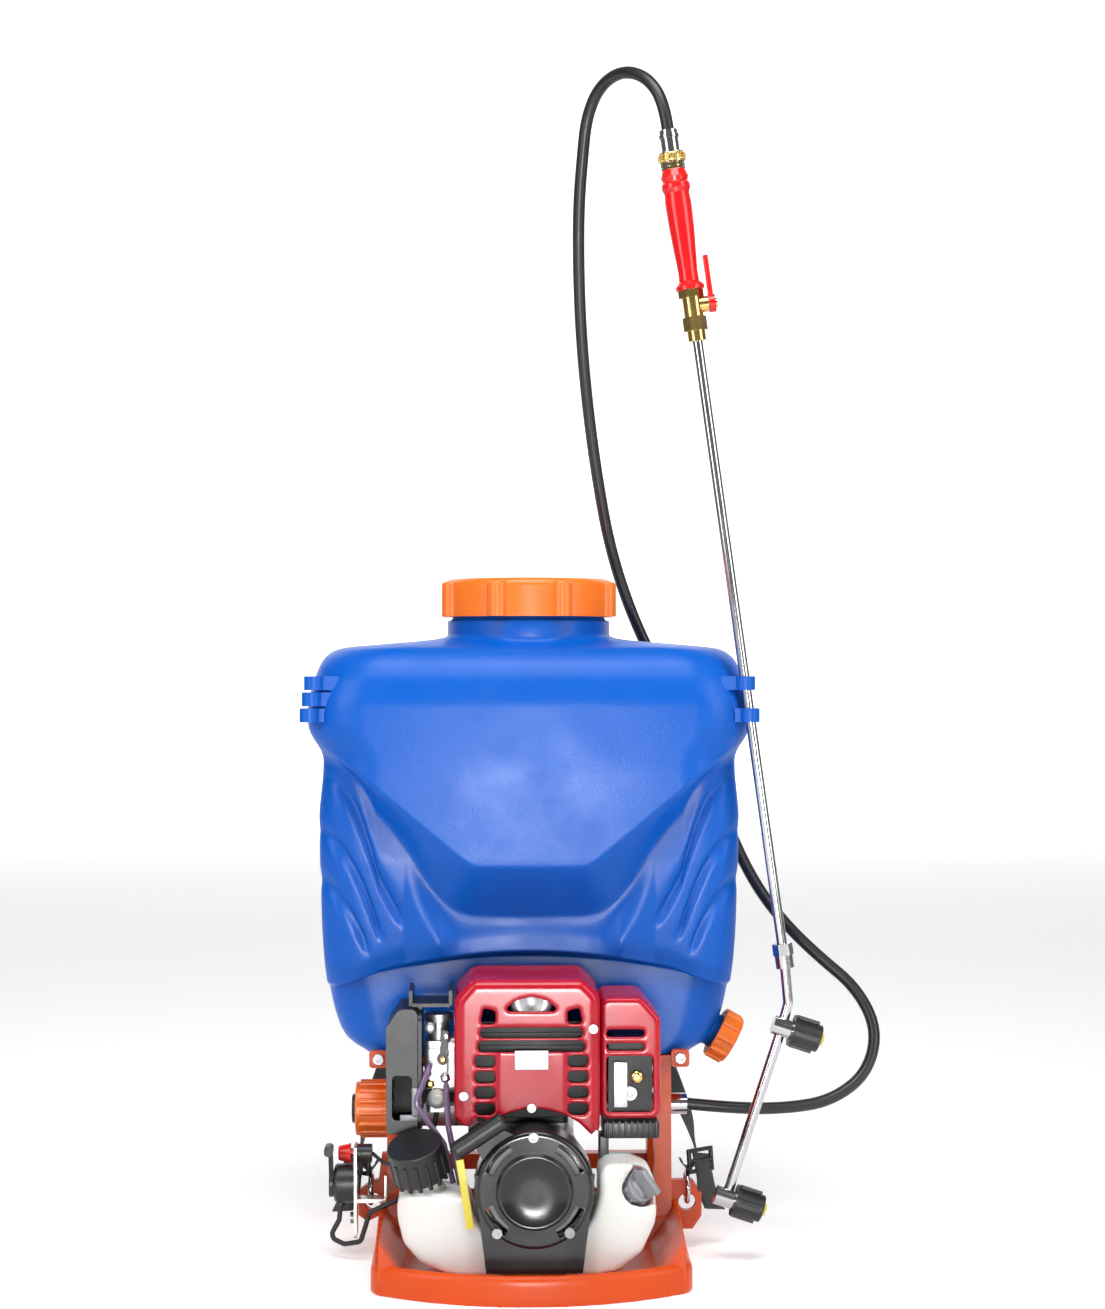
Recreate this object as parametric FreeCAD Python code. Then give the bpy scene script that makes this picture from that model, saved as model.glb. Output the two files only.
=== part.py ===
"""Motor knapsack sprayer: tank, moulded base, petrol engine, gear pump, spray lance and harness.

Millimetres. X runs across the machine, -Y is the side with the engine, +Z is up.
The origin lies on the ground under the middle of the tank, where the base rests.
Each function below makes one part and saves it as parts/NAME.step.
"""
import FreeCAD, Part
import math
import os

os.makedirs("parts", exist_ok=True)
V = FreeCAD.Vector
UP = V(0, 0, 1)
ALONG_X = V(1, 0, 0)
ALONG_Y = V(0, 1, 0)

# ---- driving dimensions ----
tank_width = 392.0          # across the widest ring of the tank
tank_depth = 216.0          # front to back at the widest ring
tank_height = 371.0         # from its flat bottom to the shoulder below the neck
tank_wall = 3.0
neck_radius = 73.5
neck_height = 34.0
cap_radius = 77.0
cap_height = 34.0
thread_gap = 0.6            # between a screw cap and the neck inside it
frame_height = 175.0        # ground to the underside of the tank
frame_half = 126.0          # centre to the outer face of an upright
upright_thick = 15.0
tray_half = 134.5
tray_back = 100.0
tray_corner_front = -190.0
tray_corner = 20.0
tray_nose = -235.0
tray_lip = 26.0
tray_floor = 14.0
tray_wall = 8.0
crank_x = 2.0
crank_z = 87.0
cylinder_y = -95.0
bore_radius = 20.0
stroke = 28.0
starter_radius = 50.0
starter_front = -200.0
shell_wall = 2.5
shaft_radius = 7.0
running_gap = 0.05          # radial gap of a shaft in its bearing
cover_top = 257.0           # the engine cover's highest face, which the tank arches over
arch_gap = 13.0
press_travel = 3.0          # how far the stop button goes in
lance_y = -88.0 - 0.8 * (tank_depth - 216.0) / 2
lance_radius = 4.5
lance_lean = 0.1404         # sideways run of the lance for each unit of height
hose_radius = 5.5

# how much a changed tank moves the things beside, behind and above it
wider = (tank_width - 392.0) / 2
deeper = (tank_depth - 216.0) / 2
tank_top = frame_height + tank_height
tank_rear = 109.0 * tank_depth / 216.0
anchor_z = frame_height + 0.79 * tank_height      # the shoulder straps' lugs


# ---- small helpers ----
def box(x0, x1, y0, y1, z0, z1):
    return Part.makeBox(x1 - x0, y1 - y0, z1 - z0, V(x0, y0, z0))


def rod(start, end, radius):
    """A round bar from one point to another."""
    start, end = V(*start), V(*end)
    return Part.makeCylinder(radius, (end - start).Length, start, end - start)


def cone(start, end, radius_start, radius_end):
    start, end = V(*start), V(*end)
    return Part.makeCone(radius_start, radius_end, (end - start).Length, start, end - start)


def pipe(start, end, radius, hole):
    return rod(start, end, radius).cut(rod(start, end, hole))


def plate_xz(points, y0, y1):
    """A flat plate whose outline is given in X and Z, between two Y planes."""
    corners = [V(x, y0, z) for x, z in points]
    face = Part.Face(Part.makePolygon(corners + [corners[0]]))
    return face.extrude(V(0, y1 - y0, 0))


def plate_xy(points, z0, z1):
    corners = [V(x, y, z0) for x, y in points]
    face = Part.Face(Part.makePolygon(corners + [corners[0]]))
    return face.extrude(V(0, 0, z1 - z0))


def plate_yz(points, x0, x1):
    corners = [V(x0, y, z) for y, z in points]
    face = Part.Face(Part.makePolygon(corners + [corners[0]]))
    return face.extrude(V(x1 - x0, 0, 0))


def fuse(shapes):
    joined = shapes[0]
    for shape in shapes[1:]:
        joined = joined.fuse(shape)
    return joined.removeSplitter()


def cut_all(shape, tools):
    for tool in tools:
        shape = shape.cut(tool)
    return shape


def rounded(shape, radius, wanted):
    """Rounds the edges that the test picks, as far as the shape allows."""
    edges = [edge for edge in shape.Edges if wanted(edge)]
    return shape.makeFillet(radius, edges)


def is_along(edge, axis):
    """True for a straight edge that runs along X, Y or Z (axis 0, 1 or 2)."""
    if not isinstance(edge.Curve, Part.Line):
        return False
    return abs(abs(edge.Curve.Direction[axis]) - 1.0) < 1e-6


def along(axis):
    return lambda edge: is_along(edge, axis)


def round_block(x0, x1, y0, y1, z0, z1, radius, axis):
    """A block with the four edges along one axis rounded."""
    return rounded(box(x0, x1, y0, y1, z0, z1), radius, along(axis))


def mirrored(shape):
    return shape.mirror(V(0, 0, 0), ALONG_X)


def bent_rod(points, radius, bend):
    """A round bar through the points, with an arc of one bend radius at each corner."""
    return sweep(points, radius, [bend] * (len(points) - 2))


def sweep(points, radius, bends):
    points = [V(*point) for point in points]
    edges = []
    here = points[0]
    for before, corner, after, bend in zip(points, points[1:], points[2:], bends):
        back = (before - corner).normalize()
        onward = (after - corner).normalize()
        half_turn = (math.pi - back.getAngle(onward)) / 2
        reach = bend * math.tan(half_turn)
        start = corner + back * reach
        end = corner + onward * reach
        inward = (back + onward).normalize()
        middle = corner + inward * (bend / math.cos(half_turn) - bend)
        edges.append(Part.LineSegment(here, start).toShape())
        edges.append(Part.Arc(start, middle, end).toShape())
        here = end
    edges.append(Part.LineSegment(here, points[-1]).toShape())
    path = Part.Wire(edges)
    circle = Part.makeCircle(radius, points[0], points[1] - points[0])
    return path.makePipeShell([Part.Wire(circle)], True, False)


def save(name, *solids):
    """Writes one part; a group of identical pieces is written as separate solids."""
    shape = solids[0] if len(solids) == 1 else Part.makeCompound(list(solids))
    shape.exportStep("parts/" + name + ".step")
    box_ = shape.BoundBox
    print(f"{name:20s} solids {len(shape.Solids):3d} volume {shape.Volume / 1000:8.1f} cm3 "
          f"x {box_.XMin:.0f}..{box_.XMax:.0f} y {box_.YMin:.0f}..{box_.YMax:.0f} "
          f"z {box_.ZMin:.0f}..{box_.ZMax:.0f} valid {shape.isValid()}")


def ring_points(count, first=0.0):
    return [first + 2 * math.pi * i / count for i in range(count)]


def lobed_cap(centre, axis, radius, length, lobes, lobe_radius, bore):
    """A screw cap: a cup with round grip lobes, open at the start of its axis."""
    centre, axis = V(*centre), V(*axis).normalize()
    side = axis.cross(UP) if abs(axis.z) < 0.9 else ALONG_X
    side = side.normalize()
    body = Part.makeCylinder(radius, length, centre, axis)
    body = body.makeFillet(radius * 0.06, [body.Edges[0]])
    for angle in ring_points(lobes):
        turned = FreeCAD.Rotation(axis, math.degrees(angle)).multVec(side)
        start = centre + turned * (radius - lobe_radius * 0.25)
        grip = Part.makeCylinder(lobe_radius, length * 0.82, start + axis * (length * 0.04), axis)
        body = body.fuse(grip)
    hole = Part.makeCylinder(bore, length - 3.0, centre, axis)
    return body.cut(hole).removeSplitter()


# ---- tank ----
def outline_xy(half, front, back, corner, z):
    """A rectangle with round corners in plan, as a closed wire at height z."""
    block = box(-half, half, front, back, z, z + 1.0)
    block = rounded(block, corner, along(2))
    lowest = [face for face in block.Faces if abs(face.CenterOfMass.z - z) < 1e-6][0]
    return lowest.OuterWire


def tank_body(inset):
    """The outside of the tank for inset 0, and its hollow for the wall's thickness."""
    w = tank_width / 392.0
    d = tank_depth / 216.0
    h = tank_height / 371.0
    lower = [(0, 150, -46, 78), (8, 161, -50, 84), (27, 168, -52, 90), (75, 173, -54, 96)]
    upper = [(58, 170, -70, 97), (90, 179, -88, 103), (175, 185, -98, 108), (260, 184, -104, 109),
             (292, 196, -107, 109), (330, 191, -102, 106), (354, 170, -88, 94), (371, 104, -62, 66)]
    bodies = []
    for rows in (lower, upper):
        first = rows[0][0]
        last = rows[-1][0]
        wires = []
        for height, half, front, back in rows:
            z = frame_height + height * h
            if height == first:
                z += inset
            if height == last:
                z -= inset
            corner = min(58.0 * w, half * 0.4 * w, (back - front) * 0.47 * d) - inset
            wires.append(outline_xy(half * w - inset, front * d + inset, back * d - inset, corner, z))
        bodies.append(Part.makeLoft(wires, True, len(rows) < 5))
    arch_radius = 500.0 + inset
    arch_top = cover_top + arch_gap + inset
    arch = rod((0, -300, arch_top - arch_radius), (0, -50 * d + inset, arch_top - arch_radius), arch_radius)
    return bodies[0].fuse(bodies[1].cut(arch))


neck_top = tank_top + neck_height
drain_centre = (163.0 * tank_width / 392.0, -20.0, frame_height + 19.0)
drain_axis = V(0.875, 0, -0.485).normalize()
drain_radius = 15.0
lug_x = 62.0                # centre to a shoulder strap's lug


def drain_point(distance):
    start = V(*drain_centre) + drain_axis * distance
    return (start.x, start.y, start.z)


def make_tank():
    neck = rod((0, 0, tank_top - 12), (0, 0, neck_top), neck_radius - 5)
    collar = rod((0, 0, tank_top - 12), (0, 0, tank_top + 6), neck_radius)
    spout = rod(drain_point(-14), drain_point(14), drain_radius)
    hollow = tank_body(tank_wall)
    throat = rod((0, 0, tank_top - 30), (0, 0, neck_top + 1), neck_radius - 9)
    drain_hole = rod(drain_point(-16), drain_point(15), drain_radius - 3)
    outlet = rod((-60, 20, frame_height - 1), (-60, 20, frame_height + 8), 6)
    shell = fuse([tank_body(0), neck, collar, spout])
    shell = cut_all(shell, [hollow, throat, drain_hole, outlet])
    for side in (-1, 1):
        x = side * lug_x
        lug = round_block(x - 26, x + 26, tank_rear - 3, tank_rear + 9, anchor_z - 8, anchor_z + 8, 3, 0)
        slot = box(x - 19, x + 19, tank_rear + 1.5, tank_rear + 5.5, anchor_z - 10, anchor_z + 10)
        shell = shell.fuse(lug.cut(slot))
    save("tank_shell", shell)

    wire = 1.6
    basket = pipe((0, 0, tank_top - 70), (0, 0, neck_top + 2), neck_radius - 11, neck_radius - 11 - wire)
    rim = pipe((0, 0, neck_top), (0, 0, neck_top + 2), neck_radius - 5, neck_radius - 11 - wire)
    base = rod((0, 0, tank_top - 70), (0, 0, tank_top - 68), neck_radius - 11)
    basket = fuse([basket, rim, base])
    slots = [box(-neck_radius, neck_radius, -4, 4, tank_top - 60, tank_top - 14)]
    for angle in (45, 90, 135):
        slots.append(slots[0].rotated(V(0, 0, 0), UP, angle))
    save("tank_strainer", cut_all(basket, slots))

    seal = pipe((0, 0, neck_top + 2), (0, 0, neck_top + 4), neck_radius - 5, neck_radius - 13)
    drain_seal = pipe(drain_point(14), drain_point(16), drain_radius, drain_radius - 4)
    spacer = round_block(crank_x - 67, crank_x - 64.5, -132, -92, 128, 238, 4, 0)
    save("gaskets", seal, drain_seal, spacer)


def make_tank_caps():
    base = (0, 0, tank_top + 19)
    inside = cap_height - 5
    top = tank_top + 19 + cap_height
    body = rod(base, (0, 0, top), cap_radius)
    body = body.makeFillet(7, [edge for edge in body.Edges if abs(edge.BoundBox.ZMin - top) < 0.1])
    for angle in ring_points(8, math.pi / 8):
        x = (cap_radius - 2) * math.cos(angle)
        y = (cap_radius - 2) * math.sin(angle)
        lobe = rod((x, y, tank_top + 19), (x, y, top - 3), 9)
        lobe = lobe.makeFillet(3, [edge for edge in lobe.Edges if abs(edge.BoundBox.ZMin - top + 3) < 0.1])
        body = body.fuse(lobe)
    bore = rod(base, (0, 0, neck_top + 4.2), neck_radius - 5 + thread_gap)
    hollow = rod(base, (0, 0, tank_top + 19 + inside), neck_radius - 15)
    save("tank_cap", cut_all(body, [bore, hollow]).removeSplitter())

    drain = lobed_cap(drain_point(6), drain_axis, 21.5, 18, 10, 3.0, drain_radius + thread_gap)
    save("drain_cap", drain)


def clip(z):
    """One hook: an open ring round the lance on a stem that grows out of the tank."""
    axis_x = lance_x(z)
    low, high = z - 6, z + 6
    ring = pipe((axis_x, lance_y, low), (axis_x, lance_y, high), lance_radius + 4.5, lance_radius + 1)
    half_mouth = lance_radius - 0.5
    mouth = box(axis_x + 1, axis_x + 20, lance_y - half_mouth, lance_y + half_mouth, z - 7, z + 7)
    stem = box(axis_x - 22, axis_x - lance_radius - 2, lance_y - 3, lance_y + 4, low, high)
    hook = ring.cut(mouth).fuse(stem).cut(tank_body(0))
    return max(hook.Solids, key=lambda solid: solid.BoundBox.XMax)


def make_clips():
    """Hooks on the tank's sides: two hold the lance, and the left row takes it when folded away."""
    high, middle, low = tank_top - 40.0, tank_top - 54.0, tank_top - 68.0
    right = [clip(z) for z in (high, low)]
    left = [mirrored(clip(z)) for z in (high, middle, low)]
    save("lance_clips", *(right + left))


def lance_x(z):
    return 146.9 + wider + (802.0 - z) * lance_lean


# ---- base and frame ----
def make_tray():
    corner = [(-tray_half, tray_corner_front), (tray_half, tray_corner_front)]
    nose = Part.Arc(V(corner[0][0], corner[0][1], 0), V(0, tray_nose, 0), V(corner[1][0], corner[1][1], 0))
    right = Part.LineSegment(V(tray_half, tray_corner_front, 0), V(tray_half, tray_back, 0))
    rear = Part.LineSegment(V(tray_half, tray_back, 0), V(-tray_half, tray_back, 0))
    left = Part.LineSegment(V(-tray_half, tray_back, 0), V(-tray_half, tray_corner_front, 0))
    outline = Part.Wire([edge.toShape() for edge in (nose, right, rear, left)])
    solid = Part.Face(outline).extrude(V(0, 0, tray_lip))
    solid = rounded(solid, tray_corner, along(2))
    top = [edge for edge in solid.Edges if edge.BoundBox.ZMin > tray_lip - 0.01]
    solid = solid.makeFillet(7, top)
    inner = outline.makeOffset2D(-tray_wall)
    well = Part.Face(inner).extrude(V(0, 0, tray_lip)).translated(V(0, 0, tray_floor))
    below = Part.Face(inner).extrude(V(0, 0, tray_floor - 5))
    solid = cut_all(solid, [well, below])
    rim_in = tray_half - tray_wall
    for side in (-1, 1):
        rim = plate_yz([(-150, tray_lip - 8), (-150, tray_lip), (-35, 47), (60, 47), (60, tray_lip - 8)],
                       min(side * 133, side * rim_in), max(side * 133, side * rim_in))
        solid = solid.fuse(rim)
    feet = [rod((x, y, 0), (x, y, tray_floor - 2), 11) for x in (-95, 95) for y in (-150, 60)]
    feet.append(rod((0, 0, 0), (0, 0, tray_floor - 2), 25))
    solid = fuse([solid] + feet)
    for x in (-150, 126):
        solid = solid.cut(box(x, x + 24, -42.5, -33.5, 17.5, 60))
    save("base_tray", solid)


def make_frame():
    inner = frame_half - upright_thick
    pieces = []
    for side in (-1, 1):
        x0 = min(side * inner, side * frame_half)
        x1 = max(side * inner, side * frame_half)
        foot, head = tray_floor + 2, frame_height - 6
        post = plate_yz([(-60, foot), (70, foot), (62, head), (-52, head)], x0, x1)
        window = plate_yz([(-42, 52), (44, 52), (38, 142), (-36, 142)], x0 - 1, x1 + 1)
        window = rounded(window, 10, along(0))
        b0 = min(side * 101, side * (frame_half - 0.5))
        b1 = max(side * 101, side * (frame_half - 0.5))
        boss = round_block(b0, b1, -68, -30, tray_floor, tray_floor + 20, 4, 2)
        rear_boss = round_block(b0, b1, 44, 78, tray_floor, tray_floor + 20, 4, 2)
        tab_x = side * 133.5
        tab = round_block(tab_x - 8, tab_x + 8, -62, -55, frame_height - 9, frame_height + 6, 3, 1)
        pieces += [post.cut(window), boss, rear_boss, tab]
    deck = round_block(-141, 141, -55, 78, frame_height - 9, frame_height, 12, 2)
    deck = deck.cut(round_block(-88, -32, -8, 48, frame_height - 10, frame_height + 1, 6, 2))
    beam_low = box(-inner, inner, 54, 70, 52, 66)
    beam_high = box(-inner, inner, 48, 62, 128, 142)
    right_ear = plate_xz([(126, 18), (146, 18), (154, 30), (154, 50), (146, 62), (126, 62)], -42, -34)
    right_ear = right_ear.cut(rod((141, -43, 42), (141, -33, 42), 7.6))
    left_ear = plate_xz([(-126, 9 + tray_lip), (-144, 26), (-152, 32), (-152, 54), (-142, 61), (-134, 64),
                         (-131, 87), (-126, 87)], -42, -34)
    left_ear = left_ear.cut(rod((-139, -43, 44), (-139, -33, 44), 7.6))
    save("support_frame", fuse(pieces + [deck, beam_low, beam_high, right_ear, left_ear]))

    mounts = []
    for x in (-46, 50):
        for y in (-118, -72):
            mounts.append(rod((crank_x + x - 2, y, tray_floor), (crank_x + x - 2, y, tray_floor + 9), 9))
    save("rubber_mounts", *[mount.makeFillet(1.5, mount.Edges[:1]) for mount in mounts])


def cap_screw(centre, axis, head, length):
    """A hexagon-socket screw: its head stands on the surface and its shank goes in."""
    centre, axis = V(*centre), V(*axis).normalize()
    knob = Part.makeCylinder(head, head * 0.8, centre, axis)
    shank = Part.makeCylinder(head * 0.52, length, centre - axis * length, axis)
    reach = head * 0.5
    side = axis.cross(V(0.3, 0.2, 0.9)).normalize()
    corners = []
    for i in range(7):
        turned = FreeCAD.Rotation(axis, 60.0 * i).multVec(side)
        corners.append(centre + axis * (head * 0.35) + turned * reach)
    socket = Part.Face(Part.makePolygon(corners)).extrude(axis * head)
    return knob.cut(socket).fuse(shank)


# ---- pump ----
pump_z = 122.0              # height of the pump's inlet and of its upper gear
gear_y0, gear_y1 = -10.0, 2.0
gear_teeth = 16
gear_pitch = (pump_z - crank_z) / 2
inlet = (-40.0, -15.0, pump_z)
hose_start = (143.0, -10.0, 124.0)
pump_shaft = 5.0


def gear(z, phase):
    """A straight-toothed gear on its shaft, thin-toothed so that the pair has backlash."""
    root, tip = gear_pitch - 2.4, gear_pitch + 1.7
    pitch_angle = 2 * math.pi / gear_teeth
    corners = []
    for angle in ring_points(gear_teeth, phase):
        for radius, share in ((root, -0.24), (tip, -0.10), (tip, 0.10), (root, 0.24)):
            turn = angle + share * pitch_angle
            corners.append((crank_x + radius * math.cos(turn), z + radius * math.sin(turn)))
    wheel = plate_xz(corners, gear_y0 + 0.3, gear_y1 - 0.3)
    return wheel.cut(rod((crank_x, gear_y0 - 1, z), (crank_x, gear_y1 + 1, z), pump_shaft))


def make_pump():
    housing = round_block(-40, 40, -30, 22, 60, 150, 10, 1)
    housing = housing.fuse(rod(inlet, (-127, -15, pump_z), 16))
    housing = housing.fuse(rod((38, -10, 124), (112, -10, 124), 10))
    for x in (-36, 26):
        housing = housing.fuse(box(x, x + 10, -22, 16, tray_floor, 64))
    tools = []
    for z in (crank_z, pump_z):
        tools.append(rod((crank_x, gear_y0, z), (crank_x, gear_y1, z), gear_pitch + 2.3))
        tools.append(rod((crank_x, -31, z), (crank_x, 14, z), pump_shaft + running_gap))
    tools.append(rod((-140, -15, pump_z), (-60, -15, pump_z), 12))
    tools.append(rod((60, -10, 124), (113, -10, 124), 6))
    save("pump_body", cut_all(housing, tools).removeSplitter())

    lower = gear(crank_z, math.pi / 2)
    upper = gear(pump_z, -math.pi / 2 + math.pi / gear_teeth)
    save("pump_drive_gear", lower)
    save("pump_idler_gear", upper, rod((crank_x, -26, pump_z), (crank_x, 12, pump_z), pump_shaft))
    face_y = -58.0
    drum = pipe((crank_x, face_y, crank_z), (crank_x, -43, crank_z), 30, 27)
    back = rod((crank_x, -46, crank_z), (crank_x, -43, crank_z), 30)
    shaft = rod((crank_x, -43, crank_z), (crank_x, 12, crank_z), pump_shaft)
    save("clutch_drum", fuse([drum, back, shaft]))

    cap = lobed_cap((-126.5, -15, pump_z), (-1, 0, 0), 24, 29, 14, 2.6, 16 + thread_gap)
    plug = rod((-155.5, -15, pump_z), (-158, -15, pump_z), 13)
    save("filter_cap", cap, plug)

    outlet = [rod((112, -10, 124), (128, -10, 124), 9), rod((128, -10, 124), hose_start, 9.5)]
    save("outlet_fitting", fuse(outlet))
    save("suction_pipe", bent_rod([(-60, 20, frame_height + 7), (-60, 20, frame_height - 25),
                                   (-60, -15, frame_height - 25), (-60, -15, pump_z + 16)], 5.9, 10))


# ---- engine ----
case_front, case_rear = -130.0, -60.0
case_radius = 42.0
deck_z = crank_z + case_radius
rod_length = 50.0
pin_top = crank_z + stroke / 2 + rod_length     # the piston pin at top dead centre


def on_crank(y, z=None):
    return (crank_x, y, crank_z if z is None else z)


oil_from = (34.0, -112.0, 48.0)
oil_to = (84.0, -171.0, 82.0)


def along_oil(distance):
    """A point on the oil filler's axis, counted from the end of its neck."""
    start, end = V(*oil_from), V(*oil_to)
    point = end + (end - start).normalize() * distance
    return (point.x, point.y, point.z)


def make_crankcase():
    body = rod(on_crank(case_front), on_crank(case_rear), case_radius)
    body = body.fuse(round_block(crank_x - 30, crank_x + 30, -126, -64, crank_z, deck_z, 6, 2))
    feet = round_block(crank_x - 60, crank_x + 60, -128, -62, tray_floor + 9, tray_floor + 23, 5, 2)
    web = round_block(crank_x - 36, crank_x + 36, -122, -68, tray_floor + 20, crank_z, 4, 2)
    oil_neck = rod(oil_from, oil_to, 9)
    body = fuse([body, feet, web, oil_neck])
    hollow = rod(on_crank(case_front + 8), on_crank(case_rear - 8), 32)
    bearings = rod(on_crank(case_front - 1), on_crank(case_rear + 1), shaft_radius + running_gap)
    mouth = rod((crank_x, cylinder_y, crank_z), (crank_x, cylinder_y, deck_z + 1), bore_radius + running_gap)
    save("crankcase", cut_all(body, [hollow, bearings, mouth]))


def make_cylinder():
    x, y = crank_x, cylinder_y
    barrel = rod((x, y, deck_z), (x, y, 198), 27)
    pieces = [barrel, round_block(x - 30, x + 30, y - 30, y + 30, deck_z, deck_z + 5, 6, 2)]
    for i in range(8):
        z = deck_z + 10 + i * 8.2
        pieces.append(round_block(x - 34, x + 34, y - 31, y + 33, z, z + 2.2, 14, 2))
    pieces.append(rod((x + 20, -105, 172), (66, -105, 172), 9))
    pieces.append(rod((x - 20, -112, 180), (x - 64.5, -112, 180), 12))
    bore = rod((x, y, deck_z - 1), (x, y, pin_top + 14), bore_radius + running_gap)
    plug_hole = rod((x, y, pin_top), (x, y, 199), 6)
    save("cylinder_block", cut_all(fuse(pieces), [bore, plug_hole]))
    hexagon = rod((x, y, 198), (x, y, 206), 8.5)
    thread = rod((x, y, pin_top + 16), (x, y, 198), 6)
    boot = cone((x, y, 206), (x, y, 232), 10, 8.5)
    lead = bent_rod([(x, y, 226), (x, y + 20, 226), (x, y + 30, 204)], 3.2, 6)
    save("spark_plug", fuse([hexagon, thread, boot, lead]))


def make_crank_train():
    web = 21.0
    front = rod(on_crank(-160), on_crank(-100.5), shaft_radius)
    front_web = rod(on_crank(-106), on_crank(-100.5), web)
    rear = rod(on_crank(-89.5), on_crank(-47), shaft_radius)
    rear_web = rod(on_crank(-89.5), on_crank(-84), web)
    save("crankshaft", fuse([front, front_web]), fuse([rear, rear_web]))

    wheel = rod(on_crank(-157), on_crank(-150), 44)
    wheel = wheel.fuse(rod(on_crank(-157), on_crank(-134), 14))
    vane = box(crank_x + 18, crank_x + 43, -150, -136, crank_z - 1.2, crank_z + 1.2)
    vanes = [vane.rotated(V(*on_crank(0)), ALONG_Y, i * 30) for i in range(12)]
    wheel = fuse([wheel] + vanes)
    save("flywheel", wheel.cut(rod(on_crank(-170), on_crank(-130), shaft_radius)))

    ring = pipe(on_crank(-56), on_crank(-48), 25, 10)
    gap = box(crank_x - 30, crank_x + 30, -57, -47, crank_z - 3, crank_z + 3)
    hub = pipe(on_crank(-56), on_crank(-48), 10.5, shaft_radius)
    save("clutch_shoes", fuse([ring.cut(gap), hub]))

    y0, y1 = -99.5, -90.5
    pin_low = crank_z + stroke / 2
    beam = box(crank_x - 4, crank_x + 4, y0 + 1, y1 - 1, pin_low + 6, pin_top - 4)
    big = pipe((crank_x, y0, pin_low), (crank_x, y1, pin_low), 9, 6)
    small = pipe((crank_x, y0, pin_top), (crank_x, y1, pin_top), 6.5, 4)
    skirt = rod((crank_x, cylinder_y, pin_top - 14), (crank_x, cylinder_y, pin_top + 12), bore_radius)
    piston_hollow = rod((crank_x, cylinder_y, pin_top - 15), (crank_x, cylinder_y, pin_top + 8), bore_radius - 4)
    skirt = skirt.cut(piston_hollow)
    pin = rod((crank_x, cylinder_y - 17, pin_top), (crank_x, cylinder_y + 17, pin_top), 4)
    save("piston_and_rod", fuse([beam, big, small]), skirt, pin)


def inside_cover(shape, outline, y0, y1):
    return shape.cut(plate_xz(outline, y0, y1))


def slot_xz(x0, x1, z0, z1, y, radius):
    return round_block(x0, x1, y - 8, y + 8, z0, z1, radius, 1)


cover_front, cover_back = -165.0, -62.0


def make_top_cover():
    top = cover_top
    outer = [(-65, 132), (-65, top - 17), (-50, top), (44, top), (58, top - 14), (58, 122)]
    w = shell_wall
    inner = [(-65 + w, 120), (-65 + w, top - 18), (-48.5, top - w), (42.5, top - w), (58 - w, top - 15),
             (58 - w, 110)]
    body = plate_xz(outer, cover_front, cover_back)
    body = rounded(body, 11, along(1))
    front = [edge for edge in body.Edges if edge.BoundBox.YMax < cover_front + 0.01]
    body = body.makeFillet(8, front)
    plate = round_block(-28, 28, cover_front - 1.6, cover_front + 1, 143, 201, 5, 1)
    body = body.fuse(plate)
    body = inside_cover(body, inner, cover_front + w, cover_back + 1)
    around_starter = rod(on_crank(cover_front - 5), on_crank(cover_back + 5), starter_radius + 12)
    windows = [slot_xz(-43, 43, 208, 217, cover_front, 4), slot_xz(-45, 45, 196.5, 205.5, cover_front, 4)]
    crescent = rod((0, cover_front - 5, 214), (0, cover_front + 5, 214), 28)
    windows.append(crescent.common(box(-28, 28, cover_front - 6, cover_front + 6, 231, 243)))
    for side in (-1, 1):
        windows.append(plate_xz([(side * 31, 220), (side * 43, 220), (side * 40, 233), (side * 31, 231)],
                                cover_front - 5, cover_front + 5))
        for i in range(4):
            z = 144 + i * 13.3
            x0, x1 = min(side * 31, side * 47), max(side * 31, side * 47)
            windows.append(slot_xz(x0, x1, z, z + 9.4, cover_front, 3))
    windows.append(box(50, 60, -122, -88, 150, 194))
    windows.append(box(-70, -60, -134, -90, 110, 240))
    save("top_cover", cut_all(body, [around_starter] + windows))


def make_muffler():
    w = shell_wall
    x0, x1 = 58.5, 110.0
    outer = [(x0, 137), (x0, 240), (94, 240), (x1, 222), (x1, 137)]
    inner = [(x0 + w, 130), (x0 + w, 240 - w), (93, 240 - w), (x1 - w, 221), (x1 - w, 130)]
    y0, y1 = -152.0, -72.0
    body = rounded(plate_xz(outer, y0, y1), 8, along(1))
    front = [edge for edge in body.Edges if edge.BoundBox.YMax < y0 + 0.01]
    body = body.makeFillet(4, front)
    body = inside_cover(body, inner, y0 + w, y1 + 1)
    tools = [slot_xz(64, 96, 207, 213, y0, 2.9), slot_xz(64, 96, 195.5, 201.5, y0, 2.9)]
    tools.append(slot_xz(64, 103, 143, 190, y0, 3))
    tools.append(box(x0 - 1, x0 + 4, -122, -88, 150, 194))
    for i in range(3):
        tools.append(box(x1 - 4, x1 + 1, -138 + i * 20, -126 + i * 20, 160, 210))
    save("muffler_cover", cut_all(body, tools))
    can = round_block(66, 103, -142, -82, 141, 205, 6, 1)
    pipe_out = rod((96, -84, 150), (96, -66, 150), 6)
    save("muffler", can.fuse(pipe_out))


guide_x, guide_z = -44.0, 136.0


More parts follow.
